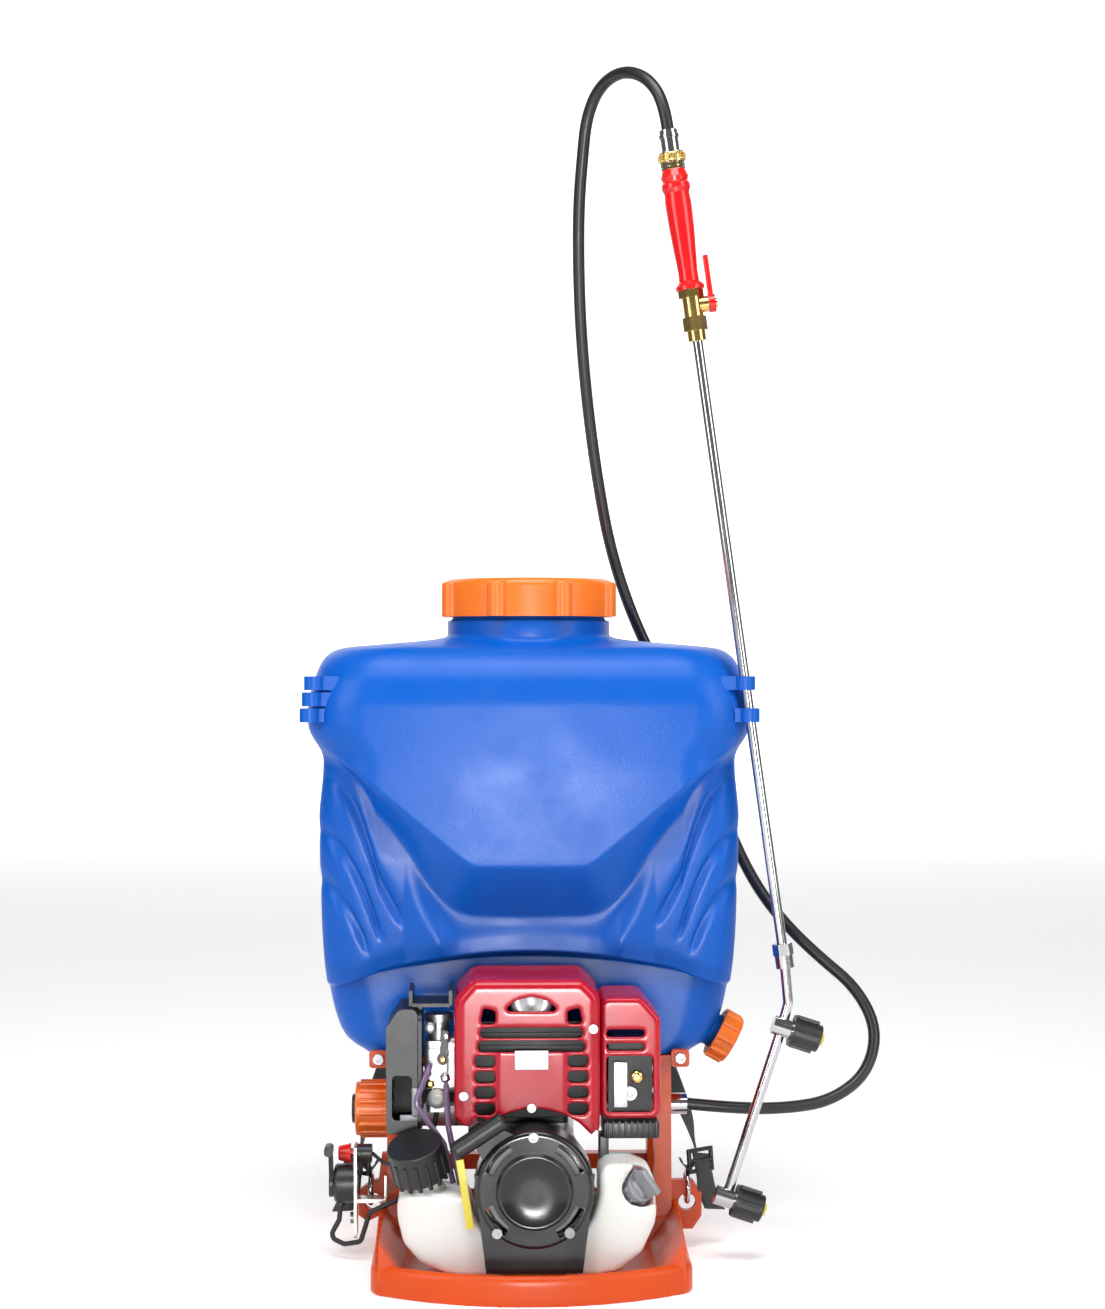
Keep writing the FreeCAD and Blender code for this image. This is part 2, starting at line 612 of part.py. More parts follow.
def make_starter():
    y0 = starter_front
    shell = rod(on_crank(y0), on_crank(-161), starter_radius)
    edge = [e for e in shell.Edges if e.BoundBox.YMax < y0 + 0.01]
    shell = shell.makeFillet(5, edge)
    foot = plate_xz([(-38, 19), (42, 19), (52, 100), (-48, 100)], y0 + 1, y0 + 9)
    guide = rod((guide_x, y0 - 2, guide_z), (guide_x, y0 + 22, guide_z), 9)
    arm = plate_xz([(-52, 131), (-40, 144), (-12, 132), (-38, 108)], y0 + 3, y0 + 20)
    boss = rod(on_crank(y0 - 4), on_crank(y0 + 2), starter_radius - 18)
    boss = boss.makeFillet(2, [e for e in boss.Edges if e.BoundBox.YMax < y0 - 3.9])
    shell = fuse([shell, foot, guide, arm, boss])
    hollow = rod(on_crank(y0 + 6), on_crank(-160), starter_radius - 3)
    rope_hole = rod((guide_x, y0 - 3, guide_z), (guide_x, y0 + 23, guide_z), 3)
    tools = [hollow, rope_hole]
    for first, last in ((20, 62), (-62, -20), (198, 236), (118, 160)):
        ring = pipe(on_crank(y0 - 1), on_crank(y0 + 8), starter_radius - 6, starter_radius - 14)
        wedge = [(crank_x, crank_z)]
        for step in range(5):
            angle = math.radians(first + (last - first) * step / 4)
            wedge.append((crank_x + 70 * math.cos(angle), crank_z + 70 * math.sin(angle)))
        tools.append(ring.common(plate_xz(wedge, y0 - 1, y0 + 8)))
    post = rod(on_crank(y0 + 3), on_crank(-176), 6)
    save("starter_housing", cut_all(shell, tools).fuse(post))
    face = rod(on_crank(y0 - 4), on_crank(y0 - 5.2), starter_radius - 20)
    save("starter_badge", face)

    flange, drum = starter_radius - 10, starter_radius - 20
    reel = fuse([rod(on_crank(-192), on_crank(-190), flange), rod(on_crank(-190), on_crank(-182), drum),
                 rod(on_crank(-182), on_crank(-180), flange)])
    save("starter_reel", reel.cut(rod(on_crank(-195), on_crank(-170), 6 + running_gap)))
    wound = pipe(on_crank(-189.8), on_crank(-182.2), flange - 2, drum)
    save("starter_rope", wound)

    half = 25.0
    tilt = math.radians(33)
    dx, dz = half * math.cos(tilt), half * math.sin(tilt)
    y = y0 - 15
    grip = rod((guide_x - dx, y, guide_z - dz), (guide_x + dx, y, guide_z + dz), 7.5)
    grip = grip.makeFillet(4, [e for e in grip.Edges if isinstance(e.Curve, Part.Circle)])
    stem = cone((guide_x, y + 3, guide_z), (guide_x, y0 - 2.5, guide_z), 6.5, 4.5)
    stub = rod((guide_x, y0 - 2.5, guide_z), (guide_x, y0 + 6, guide_z), 2)
    save("starter_handle", fuse([grip, stem, stub]))


fuel_front, fuel_rear = -190.0, -134.0


def make_fuel_system():
    horn_z = 83.5
    outer = [(-112, 64), (-107, 42), (-92, 25), (-70, 16), (-50, 14), (52, 14), (72, 18), (92, 34), (103, 58),
             (105, 84), (98, 100), (82, 107), (60, 107), (40, 60), (-40, 60), (-56, horn_z), (-112, horn_z)]
    body = plate_xz(outer, fuel_front, fuel_rear)
    body = rounded(body, 9, along(1))
    body = body.cut(rod(on_crank(fuel_front - 1), on_crank(fuel_rear + 1), starter_radius + 4))
    pocket = rod(along_oil(-18), along_oil(45), 17.5)
    oil_path = rod(oil_from, oil_to, 11)
    body = cut_all(body, [pocket, oil_path])
    neck_base = (-90, -167, 84)
    neck_axis = V(-0.19, -0.37, 0.91).normalize()
    base = V(*neck_base)
    neck = Part.makeCylinder(17, 30, base - neck_axis * 4, neck_axis)
    save("fuel_tank", body.fuse(neck).removeSplitter())
    cap_base = base + neck_axis * 14
    cap = lobed_cap((cap_base.x, cap_base.y, cap_base.z), (neck_axis.x, neck_axis.y, neck_axis.z),
                    23.5, 29, 16, 2.0, 17 + thread_gap)
    save("fuel_cap", cap)
    oil_axis = V(*oil_to) - V(*oil_from)
    cap = lobed_cap(along_oil(-7), (oil_axis.x, oil_axis.y, oil_axis.z), 13.5, 20, 8, 2.4, 9 + thread_gap)
    save("oil_cap", cap)
    supply = bent_rod([(-86, -131, 182), (-86, -150, 182), (-98, -157, 152), (-74, -155, 118),
                       (-66, -152, horn_z + 0.9)], 2.5, 9)
    back = bent_rod([(-72, -131, 164), (-72, -147, 164), (-70, -156, 132), (-60, -158, horn_z + 0.9)], 2.5, 9)
    save("fuel_lines", supply, back)


def make_intake():
    y = -112.0
    x0, x1 = crank_x - 92.5, crank_x - 67.2
    barrel = rod((x0, y, 180), (x1, y, 180), 15)
    flange = round_block(x1 - 5, x1, -131, -93, 156, 204, 6, 0)
    bowl = rod((-79, y, 146), (-79, y, 170), 13)
    cover = round_block(-91, -68, -128, -98, 192, 200, 5, 2)
    tower = rod((-79, y, 198), (-79, y, 216), 9)
    top = rod((-79, y, 216), (-79, y, 222), 12)
    block = round_block(-91, -68, -131, -98, 160, 194, 5, 2)
    lower = round_block(-89, -70, -131, -100, 140, 150, 4, 2)
    body = fuse([barrel, flange, bowl, cover, tower, top, block, lower])
    body = cut_all(body, [rod((-120, y, 180), (-60, y, 180), 9),
                          rod((-80, -132, 152), (-80, -126.5, 152), 9.2)])
    save("carburettor", body)
    bulb = rod((-80, -131.4, 152), (-80, -138, 152), 8.5)
    bulb = bulb.makeFillet(5, [e for e in bulb.Edges if e.BoundBox.YMax < -137.9])
    save("primer_bulb", bulb)
    hub = rod((-75, -131.5, 186), (-75, -136, 186), 5)
    arm = plate_xz([(-78, 186), (-72, 186), (-70.5, 210), (-75.5, 211)], -136, -133.5)
    save("choke_lever", hub.fuse(arm))

    x0 = -96.0
    base = round_block(x0, x0 + 3, -145, -80, 128, 226, 8, 0)
    base = base.cut(rod((x0 - 1, y, 180), (x0 + 4, y, 180), 9))
    shelf = round_block(-104, -67, -136, -86, 230.5, 233.5, 3, 2)
    wing = round_block(-104, -101, -136, -86, 230.5, 245, 1.2, 0)
    wing_right = round_block(-70, -67, -136, -86, 230.5, 245, 1.2, 0)
    tie = box(x0, x0 + 3, -120, -100, 220, 231)
    hinge_x, hinge_z = x0 - 0.5, 124.0
    knuckle = rod((hinge_x, -117.5, hinge_z), (hinge_x, -104.5, hinge_z), 3)
    web = box(x0, x0 + 3, -117.5, -104.5, hinge_z, 129)
    save("air_filter_base", fuse([base, shelf, wing, wing_right, tie, knuckle, web]))
    element = round_block(-116, x0 - 0.5, -138, -84, 140, 208, 8, 0)
    save("air_filter_element", element)
    outer = [(x0 - 0.5, 124), (x0 - 0.5, 230), (-112, 230), (-123, 214), (-123, 124)]
    shell = rounded(plate_xz(outer, -147, -74), 6, along(1))
    inner = [(x0 + 1, 132), (x0 + 1, 227), (-110, 227), (-120, 212), (-120, 132)]
    shell = shell.cut(plate_xz(inner, -144, -77))
    window = round_block(-118, -101, -155, -142, 136, 174, 4, 1)
    for start in (-134, -104):
        shell = shell.fuse(rod((hinge_x, start, hinge_z), (hinge_x, start + 16, hinge_z), 3))
    pocket = rod((hinge_x, -118, hinge_z), (hinge_x, -104, hinge_z), 3.4)
    save("air_filter_cover", cut_all(shell, [window, pocket]))


# ---- controls on the left ----
def make_controls():
    y0, y1 = -80.0, -54.5
    strip = round_block(-154, -151.5, y0, y1, 20, 100, 4, 0)
    foot = round_block(-152, -126, y0 + 6, y1 - 2, 50, 53, 1, 1)
    stay = box(-128, -126, y0 + 14, y1 - 2, 50, 72)
    strip = fuse([strip, foot, stay])
    strip = strip.cut(rod((-160, -60, 91), (-145, -60, 91), 3.4))
    save("control_bracket", strip)
    body = rod((-154, -60, 64.5), (-172, -60, 64.5), 17)
    body = body.makeFillet(3, [e for e in body.Edges if e.BoundBox.XMax < -171.9])
    gland = rod((-166.7, -60, 50), (-166.7, -60, 45), 4)
    pivot = rod((-172, -60, 64.5), (-177, -60, 64.5), 4)
    switch = pipe((-151.5, -60, 91), (-139, -60, 91), 8, 3.4)
    save("throttle_housing", fuse([body, gland, pivot]), switch)
    disc = rod((-173, -60, 64.5), (-176.5, -60, 64.5), 12)
    arm = plate_yz([(-66, 66), (-56, 70), (-70, 99), (-78, 95)], -176.5, -173)
    knob = round_block(-180, -172.5, -82, -66, 92, 101, 3, 1)
    lever = fuse([disc, arm, knob])
    save("throttle_lever", lever.cut(rod((-170, -60, 64.5), (-180, -60, 64.5), 4 + running_gap)))
    boot_foot = -154.6 - press_travel
    boot_end = boot_foot - 11
    boot = cone((boot_foot, -60, 91), (boot_end, -60, 91), 8.8, 6.2)
    boot = boot.makeFillet(1.5, [e for e in boot.Edges if e.BoundBox.XMax < boot_end + 0.1])
    save("stop_button", boot.fuse(rod((boot_foot - 1, -60, 91), (-140.4 - press_travel, -60, 91), 3)))
    cable = bent_rod([(-166.7, -60, 45), (-168, -60, 32), (-176, -64, 18), (-163, -70, 13), (-148, -80, 17.5),
                      (-140, -84, 44), (-116, -90, 56), (-92, -100, 84), (-80, -112, 139.5)], 2.2, 6)
    wires = bent_rod([(-139, -60, 91), (-130, -64, 84), (-112, -70, 78), (-92, -71, 84)], 1.6, 5)
    save("control_cables", cable, wires)


# ---- lance ----
lance_angle = math.degrees(math.atan(lance_lean))
lance_zero = 802.0          # height on the lance that its own lengths count from


def on_lance(z):
    return (lance_x(z), lance_y, z)


def beside_tank(x, z):
    """A point in the lance's plane, moved out with a wider tank."""
    return (x + wider, lance_y, z)


def to_lance(shape):
    """Moves a shape built upright about the Z axis onto the leaning lance."""
    turned = shape.rotated(V(0, 0, 0), ALONG_Y, -lance_angle)
    return turned.translated(V(*on_lance(lance_zero)))


def step(z):
    """Length along the lance from its zero to a height."""
    return (z - lance_zero) / math.cos(math.radians(lance_angle))


def upright(z0, z1, radius):
    return rod((0, 0, step(z0)), (0, 0, step(z1)), radius)


def hexagon(z0, z1, radius):
    corners = [(radius * math.cos(a), radius * math.sin(a)) for a in ring_points(6)]
    return plate_xy(corners, step(z0), step(z1))


def make_lance():
    bore = upright(200, 1000, 3.0)
    ferrule = upright(969.2, 989, 8).fuse(upright(982, 985, 9))
    knurled = upright(960.8, 969.2, 11.5)
    nut = hexagon(954.6, 960.8, 10.5)
    save("lance_fittings", to_lance(fuse([ferrule, knurled, nut]).cut(bore)))

    profile = [(3.2, 849.6), (12.5, 849.6), (12.5, 853), (9, 857), (8.6, 866), (9.6, 880), (11.2, 905),
               (11.6, 925), (11.0, 934), (12.6, 938), (12.4, 942), (10.8, 944), (12.2, 948), (10, 954.4),
               (3.2, 954.4)]
    corners = [V(radius, 0, step(z)) for radius, z in profile]
    face = Part.Face(Part.makePolygon(corners + [corners[0]]))
    save("lance_grip", to_lance(face.revolve(V(0, 0, 0), UP, 360)))

    valve_z = step(836)
    body = fuse([upright(826, 849.4, 8.5), hexagon(843, 849.4, 11), hexagon(814, 826, 10.5),
                 upright(805, 814, 8)])
    stem = rod((6, 0, valve_z), (22, 0, valve_z), 4)
    body = body.fuse(rod((6, 0, valve_z), (13.5, 0, valve_z), 7)).fuse(stem)
    body = body.cut(upright(830, 1000, 3.0)).cut(upright(800, 826, lance_radius + running_gap))
    save("lance_valve", to_lance(body))
    hub = rod((14, 0, valve_z), (20, 0, valve_z), 8)
    arm = round_block(14.5, 19, -4.5, 4.5, valve_z, valve_z + 42, 1.5, 2)
    lever = hub.fuse(arm).cut(rod((10, 0, valve_z), (25, 0, valve_z), 4 + running_gap))
    save("valve_lever", to_lance(lever))

    save("lance_tube", to_lance(upright(264, 825.5, lance_radius).cut(upright(260, 826, lance_radius - 1))))

    union = hexagon(268, 278, 9).fuse(upright(257, 268, 8))
    union = to_lance(union.cut(upright(263.5, 279, lance_radius + running_gap)))
    bend = bent_rod([on_lance(262), beside_tank(226, 226), beside_tank(219.5, 202), beside_tank(171.6, 56.2)],
                    lance_radius, 9)
    pieces = [union, bend]
    for start in nozzles:
        pieces.append(nozzle_rod(start, -7, 16, 8.5))
    save("boom_tube", fuse(pieces))
    for name, start in (("nozzle_cap_upper", nozzles[0]), ("nozzle_cap_lower", nozzles[1])):
        cap = nozzle_rod(start, 10, 36, 12)
        cap = cap.makeFillet(1.2, [e for e in cap.Edges if isinstance(e.Curve, Part.Circle)])
        cap = cap.fuse(nozzle_rod(start, 10, 13, 14))
        for angle in ring_points(4):
            wing = box(0, 14.5, -1.8, 1.8, 12, 32)
            wing = wing.rotated(V(0, 0, 0), UP, math.degrees(angle))
            cap = cap.fuse(to_nozzle(wing, start))
        cap = cap.cut(nozzle_rod(start, 9, 31, 8.5 + thread_gap))
        cap = cap.cut(nozzle_rod(start, 30, 37, 5))
        tip = nozzle_rod(start, 31.5, 39, 4.9)
        save(name, cap.removeSplitter(), tip)


nozzles = [beside_tank(219.1, 205.5), beside_tank(168.8, 57.1)]
nozzle_axis = V(0.95, 0, -0.311).normalize()


def nozzle_rod(start, first, last, radius):
    base = V(*start)
    low = base + nozzle_axis * first
    high = base + nozzle_axis * last
    return rod((low.x, low.y, low.z), (high.x, high.y, high.z), radius)


def to_nozzle(shape, start):
    turn = FreeCAD.Rotation(UP, nozzle_axis)
    shape = shape.copy()
    shape.Placement = FreeCAD.Placement(V(*start), turn).multiply(shape.Placement)
    return shape


# ---- hose ----
hose_end = on_lance(989)


def hose_point(x, y, z):
    """A point of the hose, moved out with a wider or deeper tank, and little near the fixed outlet."""
    share = min(1.0, (x - hose_start[0]) / 180.0) if z < 184 else 1.0
    back = share if z < 640 else 1.0 - 1.8 * min(1.0, (z - 640.0) / 375.0)
    return (x + wider * share, y + deeper * back, z)


hose_route = [hose_start] + [hose_point(*point) for point in (
    (190, -9, 119), (238, -2, 118), (278, 8, 123), (312, 20, 145), (324, 34, 183),
    (307, 50, 220), (273, 62, 248), (243, 74, 277), (217, 92, 312), (196, 112, 357), (178, 126, 410),
    (155, 134, 463), (127, 134, 516), (100, 125, 572), (79, 108, 634), (66, 88, 700), (56, 66, 766),
    (49, 42, 832), (46, 20, 896), (46, 4, 944), (49, -8, 984), (52, -17, 1015), (62.5, -31.5, 1040),
    (81.5, -54, 1049.5), (102.3, -75.5, 1039.5), (117, -88, 1014.7))] + [hose_end]


def make_hose():
    points = [V(*point) for point in hose_route]
    bends = []
    length = 0.0
    for before, corner, after in zip(points, points[1:], points[2:]):
        length += (corner - before).Length
        turn = (corner - before).getAngle(after - corner)
        shorter = min((corner - before).Length, (after - corner).Length)
        bends.append(0.45 * shorter / math.tan(turn / 2))
        length += bends[-1] * (turn - 2 * math.tan(turn / 2))
    length += (points[-1] - points[-2]).Length
    tube = sweep(hose_route, hose_radius, bends)
    print("hose bend radii", [round(bend) for bend in bends])
    print(f"hose length {length:.0f}, volume {tube.Volume:.0f}, section x length "
          f"{math.pi * hose_radius ** 2 * length:.0f}")
    save("hose", tube)


# ---- harness ----
def strip_loft(stations, thick):
    """A flat band through stations, each a centre, the half width vector and the flat's normal."""
    wires = []
    for centre, half, normal in stations:
        centre, half = V(*centre), V(*half)
        lift = V(*normal).normalize() * (thick / 2)
        corners = [centre + half + lift, centre - half + lift, centre - half - lift, centre + half - lift]
        wires.append(Part.makePolygon(corners + [corners[0]]))
    return Part.makeLoft(wires, True, True)


def make_harness():
    pad_front = tank_rear + 3
    pad = round_block(-102, 102, pad_front, pad_front + 20, 190, anchor_z - 38, 30, 1)
    save("back_pad", pad)
    behind = tank_rear - 109
    straps = []
    rings = []
    buckles = []
    for side in (-1, 1):
        def at(x, y, z):
            return (side * x, y, z)
        broad = [(at(62, 134 + behind, anchor_z + 6), at(28, 0, 0), (0, 0.3, 1)),
                 (at(64, 172 + behind, anchor_z + 4), at(28, 0, 0), (0, 0.5, 0.9)),
                 (at(68, 206 + behind, anchor_z - 22), at(28, 0, 0), (0, 0.9, 0.4)),
                 (at(74, 222 + behind, anchor_z - 80), at(27, 0, 0), (0, 1, 0)),
                 (at(80, 222 + behind, anchor_z - 150), at(25, 3, 0), (0, 1, -0.15)),
                 (at(88, 208 + behind, anchor_z - 208), at(19, 5, 0), (0, 1, -0.3))]
        webbing = [(at(88, 208 + behind, anchor_z - 210), at(12, 3, 0), (0, 1, -0.3)),
                   (at(104, 186 + behind, 200), at(12, 3, 0), (0, 1, -0.5)),
                   (at(132, 136, 140), at(10, 5, 0), (0.2 * side, 1, -1)),
                   (at(150, 76, 98), at(6, 10, 0), (0.9 * side, 1, -1)),
                   (at(153, 16, 80), at(0, 12, 2), (1, 0, 0)),
                   (at(151.5, -22, 78), at(0, 12, 3), (1, 0, 0))]
        straps.append(strip_loft(broad, 12))
        straps.append(strip_loft(webbing, 2.4))
        tail = [(at(154.5, -24, 80), at(0, 12, 3), (1, 0, 0)), (at(160, -20, 58), at(0, 12, 2), (1, 0, 0)),
                (at(163, -18, 34), at(0, 12, 0), (1, 0, 0))]
        loop = [(at(148.5, -36, 76), at(0, 11, 0), (1, 0, 0.4)), (at(141, -38, 71.8), at(0, 11, 0), (0, 0, 1)),
                (at(135.5, -38, 79), at(0, 11, 0), (1, 0, 0))]
        straps.append(strip_loft(tail, 2.2))
        straps.append(strip_loft(loop, 2.2))
        rings.append(Part.makeTorus(13, 2.2, V(side * 141, -38, 55), ALONG_X))
        frame = round_block(-2, 2, -16, 16, -11, 11, 3, 0)
        frame = cut_all(frame, [box(-4, 4, -12.5, 12.5, -8, -2), box(-4, 4, -12.5, 12.5, 2, 8)])
        buckles.append(frame.rotated(V(0, 0, 0), ALONG_X, 10).translated(V(side * 151.5, -33, 81)))
        top = strip_loft([(at(62, tank_rear + 3.5, anchor_z - 10), at(12, 0, 0), (0, 1, 0)),
                          (at(62, tank_rear + 3.5, anchor_z + 8), at(12, 0, 0), (0, 1, 0)),
                          (at(62, 133 + behind, anchor_z + 14), at(12, 0, 0), (0, 0, 1))], 2.2)
        straps.append(top)
    save("shoulder_straps", *straps)
    save("strap_links", *rings)
    save("strap_buckles", *buckles)


def make_screws():
    """Every cap screw of the machine: centre of the head's underside, its axis, head radius, shank."""
    front = (0, -1, 0)
    y = starter_front
    heads = []
    for side in (-1, 1):
        heads.append(((side * 133.5, -62, frame_height - 1), front, 4.6, 6))
        heads.append(((side * 118, -40, tray_floor + 20), (0, 0, 1), 5.0, 12))
        heads.append(((side * 118, 70, tray_floor + 20), (0, 0, 1), 5.0, 12))
    for x, z in ((crank_x - 1, crank_z + starter_radius - 5), (crank_x - 31, 53), (crank_x + 29, 53)):
        heads.append(((x, y, z), front, 4.2, 5))
    for x, z in ((-57, 160), (52, 216), (0, 150)):
        heads.append(((x, cover_front - (1.6 if x == 0 else 0), z), front, 3.8, 4))
    heads.append(((84, -142, 158), front, 6.0, 5))
    heads.append(((-154, -60, 34), (-1, 0, 0), 5.0, 2))
    save("screws", *[cap_screw(*head) for head in heads])


make_tank()
make_tank_caps()
make_clips()
make_tray()
make_frame()
make_pump()
make_crankcase()
make_cylinder()
make_crank_train()
make_top_cover()
make_muffler()
make_starter()
make_fuel_system()
make_intake()
make_controls()
make_lance()
make_hose()
make_harness()
make_screws()
print(len(os.listdir("parts")), "parts")
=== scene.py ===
# %% [markdown]
# # A motor knapsack sprayer
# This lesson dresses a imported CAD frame. The frame already holds every hard piece at its real place, in
# metres, so nothing here is moved into position. We add what CAD is poor at: the blow-moulded tank, soft
# straps, the hose, and above all the finish of each surface.

# %% Load the frame and keep its box
import math
import bmesh
import bpy
import numpy as np
from mathutils import Matrix, Vector
from mathutils.bvhtree import BVHTree


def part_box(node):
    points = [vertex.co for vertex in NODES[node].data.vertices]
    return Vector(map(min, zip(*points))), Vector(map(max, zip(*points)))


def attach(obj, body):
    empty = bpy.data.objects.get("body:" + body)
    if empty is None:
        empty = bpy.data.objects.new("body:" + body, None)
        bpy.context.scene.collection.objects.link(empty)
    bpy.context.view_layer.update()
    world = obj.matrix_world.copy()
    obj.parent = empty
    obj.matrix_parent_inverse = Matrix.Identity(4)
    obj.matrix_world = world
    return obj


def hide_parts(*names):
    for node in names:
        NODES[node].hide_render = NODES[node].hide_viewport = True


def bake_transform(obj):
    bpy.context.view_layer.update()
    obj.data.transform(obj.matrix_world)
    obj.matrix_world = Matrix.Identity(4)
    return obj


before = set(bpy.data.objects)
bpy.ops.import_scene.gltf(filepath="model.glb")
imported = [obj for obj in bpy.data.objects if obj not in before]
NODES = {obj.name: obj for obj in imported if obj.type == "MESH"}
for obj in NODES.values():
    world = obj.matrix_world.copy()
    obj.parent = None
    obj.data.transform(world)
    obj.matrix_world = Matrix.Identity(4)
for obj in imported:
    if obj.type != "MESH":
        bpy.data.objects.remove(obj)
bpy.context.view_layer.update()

MACHINE = "machine"

# %% [markdown]
# ## Camera, floor and light
# The machine stands on a pale seamless sheet, as in a catalogue. A level camera with a long lens keeps the
# lance straight. Two wide side lights draw soft streaks down the tank, a big one above fills the top, and a
# grey world keeps the shadows open. The backdrop and the floor glow a little, so they read as white while
# the machine keeps its deep colours. A bright world would do the same, but it would wash out the plastics.
# The softbox in front only adds gloss. The other three walls are seen from behind and from the sides, and
# throw no light back on the machine.

# %% Camera
camera_data = bpy.data.cameras.new("camera")
camera_data.lens = 66.55
camera_data.sensor_width = 36.0
camera = bpy.data.objects.new("camera", camera_data)
camera.location = (-0.0337, -2.200, 0.531)
camera.rotation_euler = (math.radians(90.0), 0.0, math.radians(-1.446))
bpy.context.scene.collection.objects.link(camera)
bpy.context.scene.camera = camera
print("camera at", tuple(camera.location))

# %% Floor and world
def new_object(name, mesh):
    thing = bpy.data.objects.new(name, mesh)
    bpy.context.scene.collection.objects.link(thing)
    return thing


def plain_shader(name, colour, roughness, glow):
    material = bpy.data.materials.new(name)
    material.use_nodes = True
    shader = material.node_tree.nodes["Principled BSDF"]
    shader.inputs["Base Color"].default_value = (*colour, 1.0)
    shader.inputs["Roughness"].default_value = roughness
    shader.inputs["Specular IOR Level"].default_value = 0.1
    shader.inputs["Emission Color"].default_value = (1.0, 1.0, 1.0, 1.0)
    shader.inputs["Emission Strength"].default_value = glow
    return material


floor_mesh = bpy.data.meshes.new("floor")
reach = 5.0
WALL_FOOT, WALL_TOP = -1, 6
floor_mesh.from_pydata([(-reach, -reach, 0), (reach, -reach, 0), (reach, reach, 0), (-reach, reach, 0)],
                       [], [(0, 1, 2, 3)])
floor = new_object("floor", floor_mesh)
floor_mesh.materials.append(plain_shader("pale_floor", (0.92, 0.92, 0.92), 0.8, 0.26))
wall_mesh = bpy.data.meshes.new("backdrop")
wall_mesh.from_pydata([(-reach, reach, WALL_FOOT), (reach, reach, WALL_FOOT),
                       (reach, reach, WALL_TOP), (-reach, reach, WALL_TOP)], [], [(0, 1, 2, 3)])
wall = new_object("backdrop", wall_mesh)
wall_mesh.materials.append(plain_shader("lit_backdrop", (0.90, 0.90, 0.90), 0.8, 1.0))
room_mesh = bpy.data.meshes.new("room_walls")
room_mesh.from_pydata([(x, y, height) for height in (WALL_FOOT, WALL_TOP)
                       for x, y in ((-reach, -reach), (reach, -reach), (reach, reach), (-reach, reach))],
                      [], [(0, 1, 5, 4), (1, 2, 6, 5), (3, 0, 4, 7)])
room = new_object("room_walls", room_mesh)
room_mesh.materials.append(plain_shader("pale_room", (0.90, 0.90, 0.90), 0.8, 0.9))
room.visible_diffuse = False
room.visible_glossy = False
room.visible_shadow = False
world = bpy.data.worlds.new("studio")
bpy.context.scene.world = world
world.use_nodes = True
world.node_tree.nodes["Background"].inputs["Color"].default_value = (1.0, 1.0, 1.0, 1.0)
world.node_tree.nodes["Background"].inputs["Strength"].default_value = 0.17
bpy.context.scene.view_settings.view_transform = "Standard"

# %% Lamps
def area_lamp(name, place, aim, size, power, gloss_only=False):
    lamp = bpy.data.lights.new(name, "AREA")
    lamp.shape = "RECTANGLE"
    lamp.size, lamp.size_y = size
    lamp.energy = power
    thing = bpy.data.objects.new(name, lamp)
    thing.location = place
    thing.rotation_euler = (Vector(aim) - Vector(place)).to_track_quat("-Z", "Y").to_euler()
    thing.visible_diffuse = not gloss_only
    bpy.context.scene.collection.objects.link(thing)


area_lamp("left_softbox", (-1.6, -1.5, 1.2), (0, 0, 0.4), (0.8, 1.6), 23)
area_lamp("right_softbox", (1.7, -1.3, 1.1), (0, 0, 0.4), (0.8, 1.6), 21)
area_lamp("top_softbox", (0.0, -0.9, 2.2), (0, 0, 0.4), (1.4, 0.9), 36)
area_lamp("front_softbox", (0.03, -1.75, 0.20), (0.02, -0.1, 0.37), (0.34, 0.22), 22.0, gloss_only=True)

# %% [markdown]
# ## The hose
# The hose is a real length of rubber between two metal ferrules. It leaves the pump to the right, rises
# behind the tank, and arches over the top of the lance. A smooth NURBS curve through the listed control
# points bends like rubber does, where arcs between straight runs would look like bent wire.

# %% Hose curve
MM = 0.001
HOSE_ROUTE = [
    (143, -10, 124), (190, -9, 119), (238, -2, 118), (278, 8, 123), (312, 20, 145), (324, 34, 183),
    (307, 50, 220), (273, 62, 248), (243, 74, 277), (217, 92, 312), (196, 112, 357), (178, 126, 410),
    (155, 134, 463), (127, 134, 516), (100, 125, 572), (79, 108, 634), (66, 88, 700), (56, 66, 766),
    (49, 42, 832), (46, 20, 896), (46, 4, 944), (49, -8, 984), (52, -17, 1015), (62.5, -31.5, 1040),
    (81.5, -54, 1049.5), (102.3, -75.5, 1039.5), (117, -88, 1014.7), (120.6, -88, 989)]
HOSE_RADIUS = 0.0055


def smooth_curve(name, route, radius):
    """A round tube along a NURBS spline whose control points are the route."""
    data = bpy.data.curves.new(name, "CURVE")
    data.dimensions = "3D"
    spline = data.splines.new("NURBS")
    spline.points.add(len(route) - 1)
    for point, place in zip(spline.points, route):
        point.co = (place[0] * MM, place[1] * MM, place[2] * MM, 1.0)
    spline.order_u = 3
    spline.use_endpoint_u = True
    spline.resolution_u = 12
    data.bevel_depth = radius
    data.bevel_resolution = 6
    data.use_fill_caps = True
    return new_object(name, data)


hose = smooth_curve("spray_hose", HOSE_ROUTE, HOSE_RADIUS)
print("hose points", len(HOSE_ROUTE))

# %% [markdown]
# ## Finishes
# One function builds every plain finish. Real moulded plastic is never one flat colour: it varies a little
# in tone, its gloss breaks up, and its skin has a fine grain. So each finish mixes two tones with a slow
# noise, varies roughness with a second noise, and adds grain through a bump. All of it reads Object
# coordinates, so a pattern stays still on the piece when the machine moves.

# %% Node helpers
def add(tree, kind, **values):
    """Adds a shader node; keyword names are its properties or, with numbers, its inputs."""
    node = tree.nodes.new(kind)
    for key, value in values.items():
        if hasattr(node, key) and key not in node.inputs:
            setattr(node, key, value)
        else:
            node.inputs[key].default_value = value
    return node


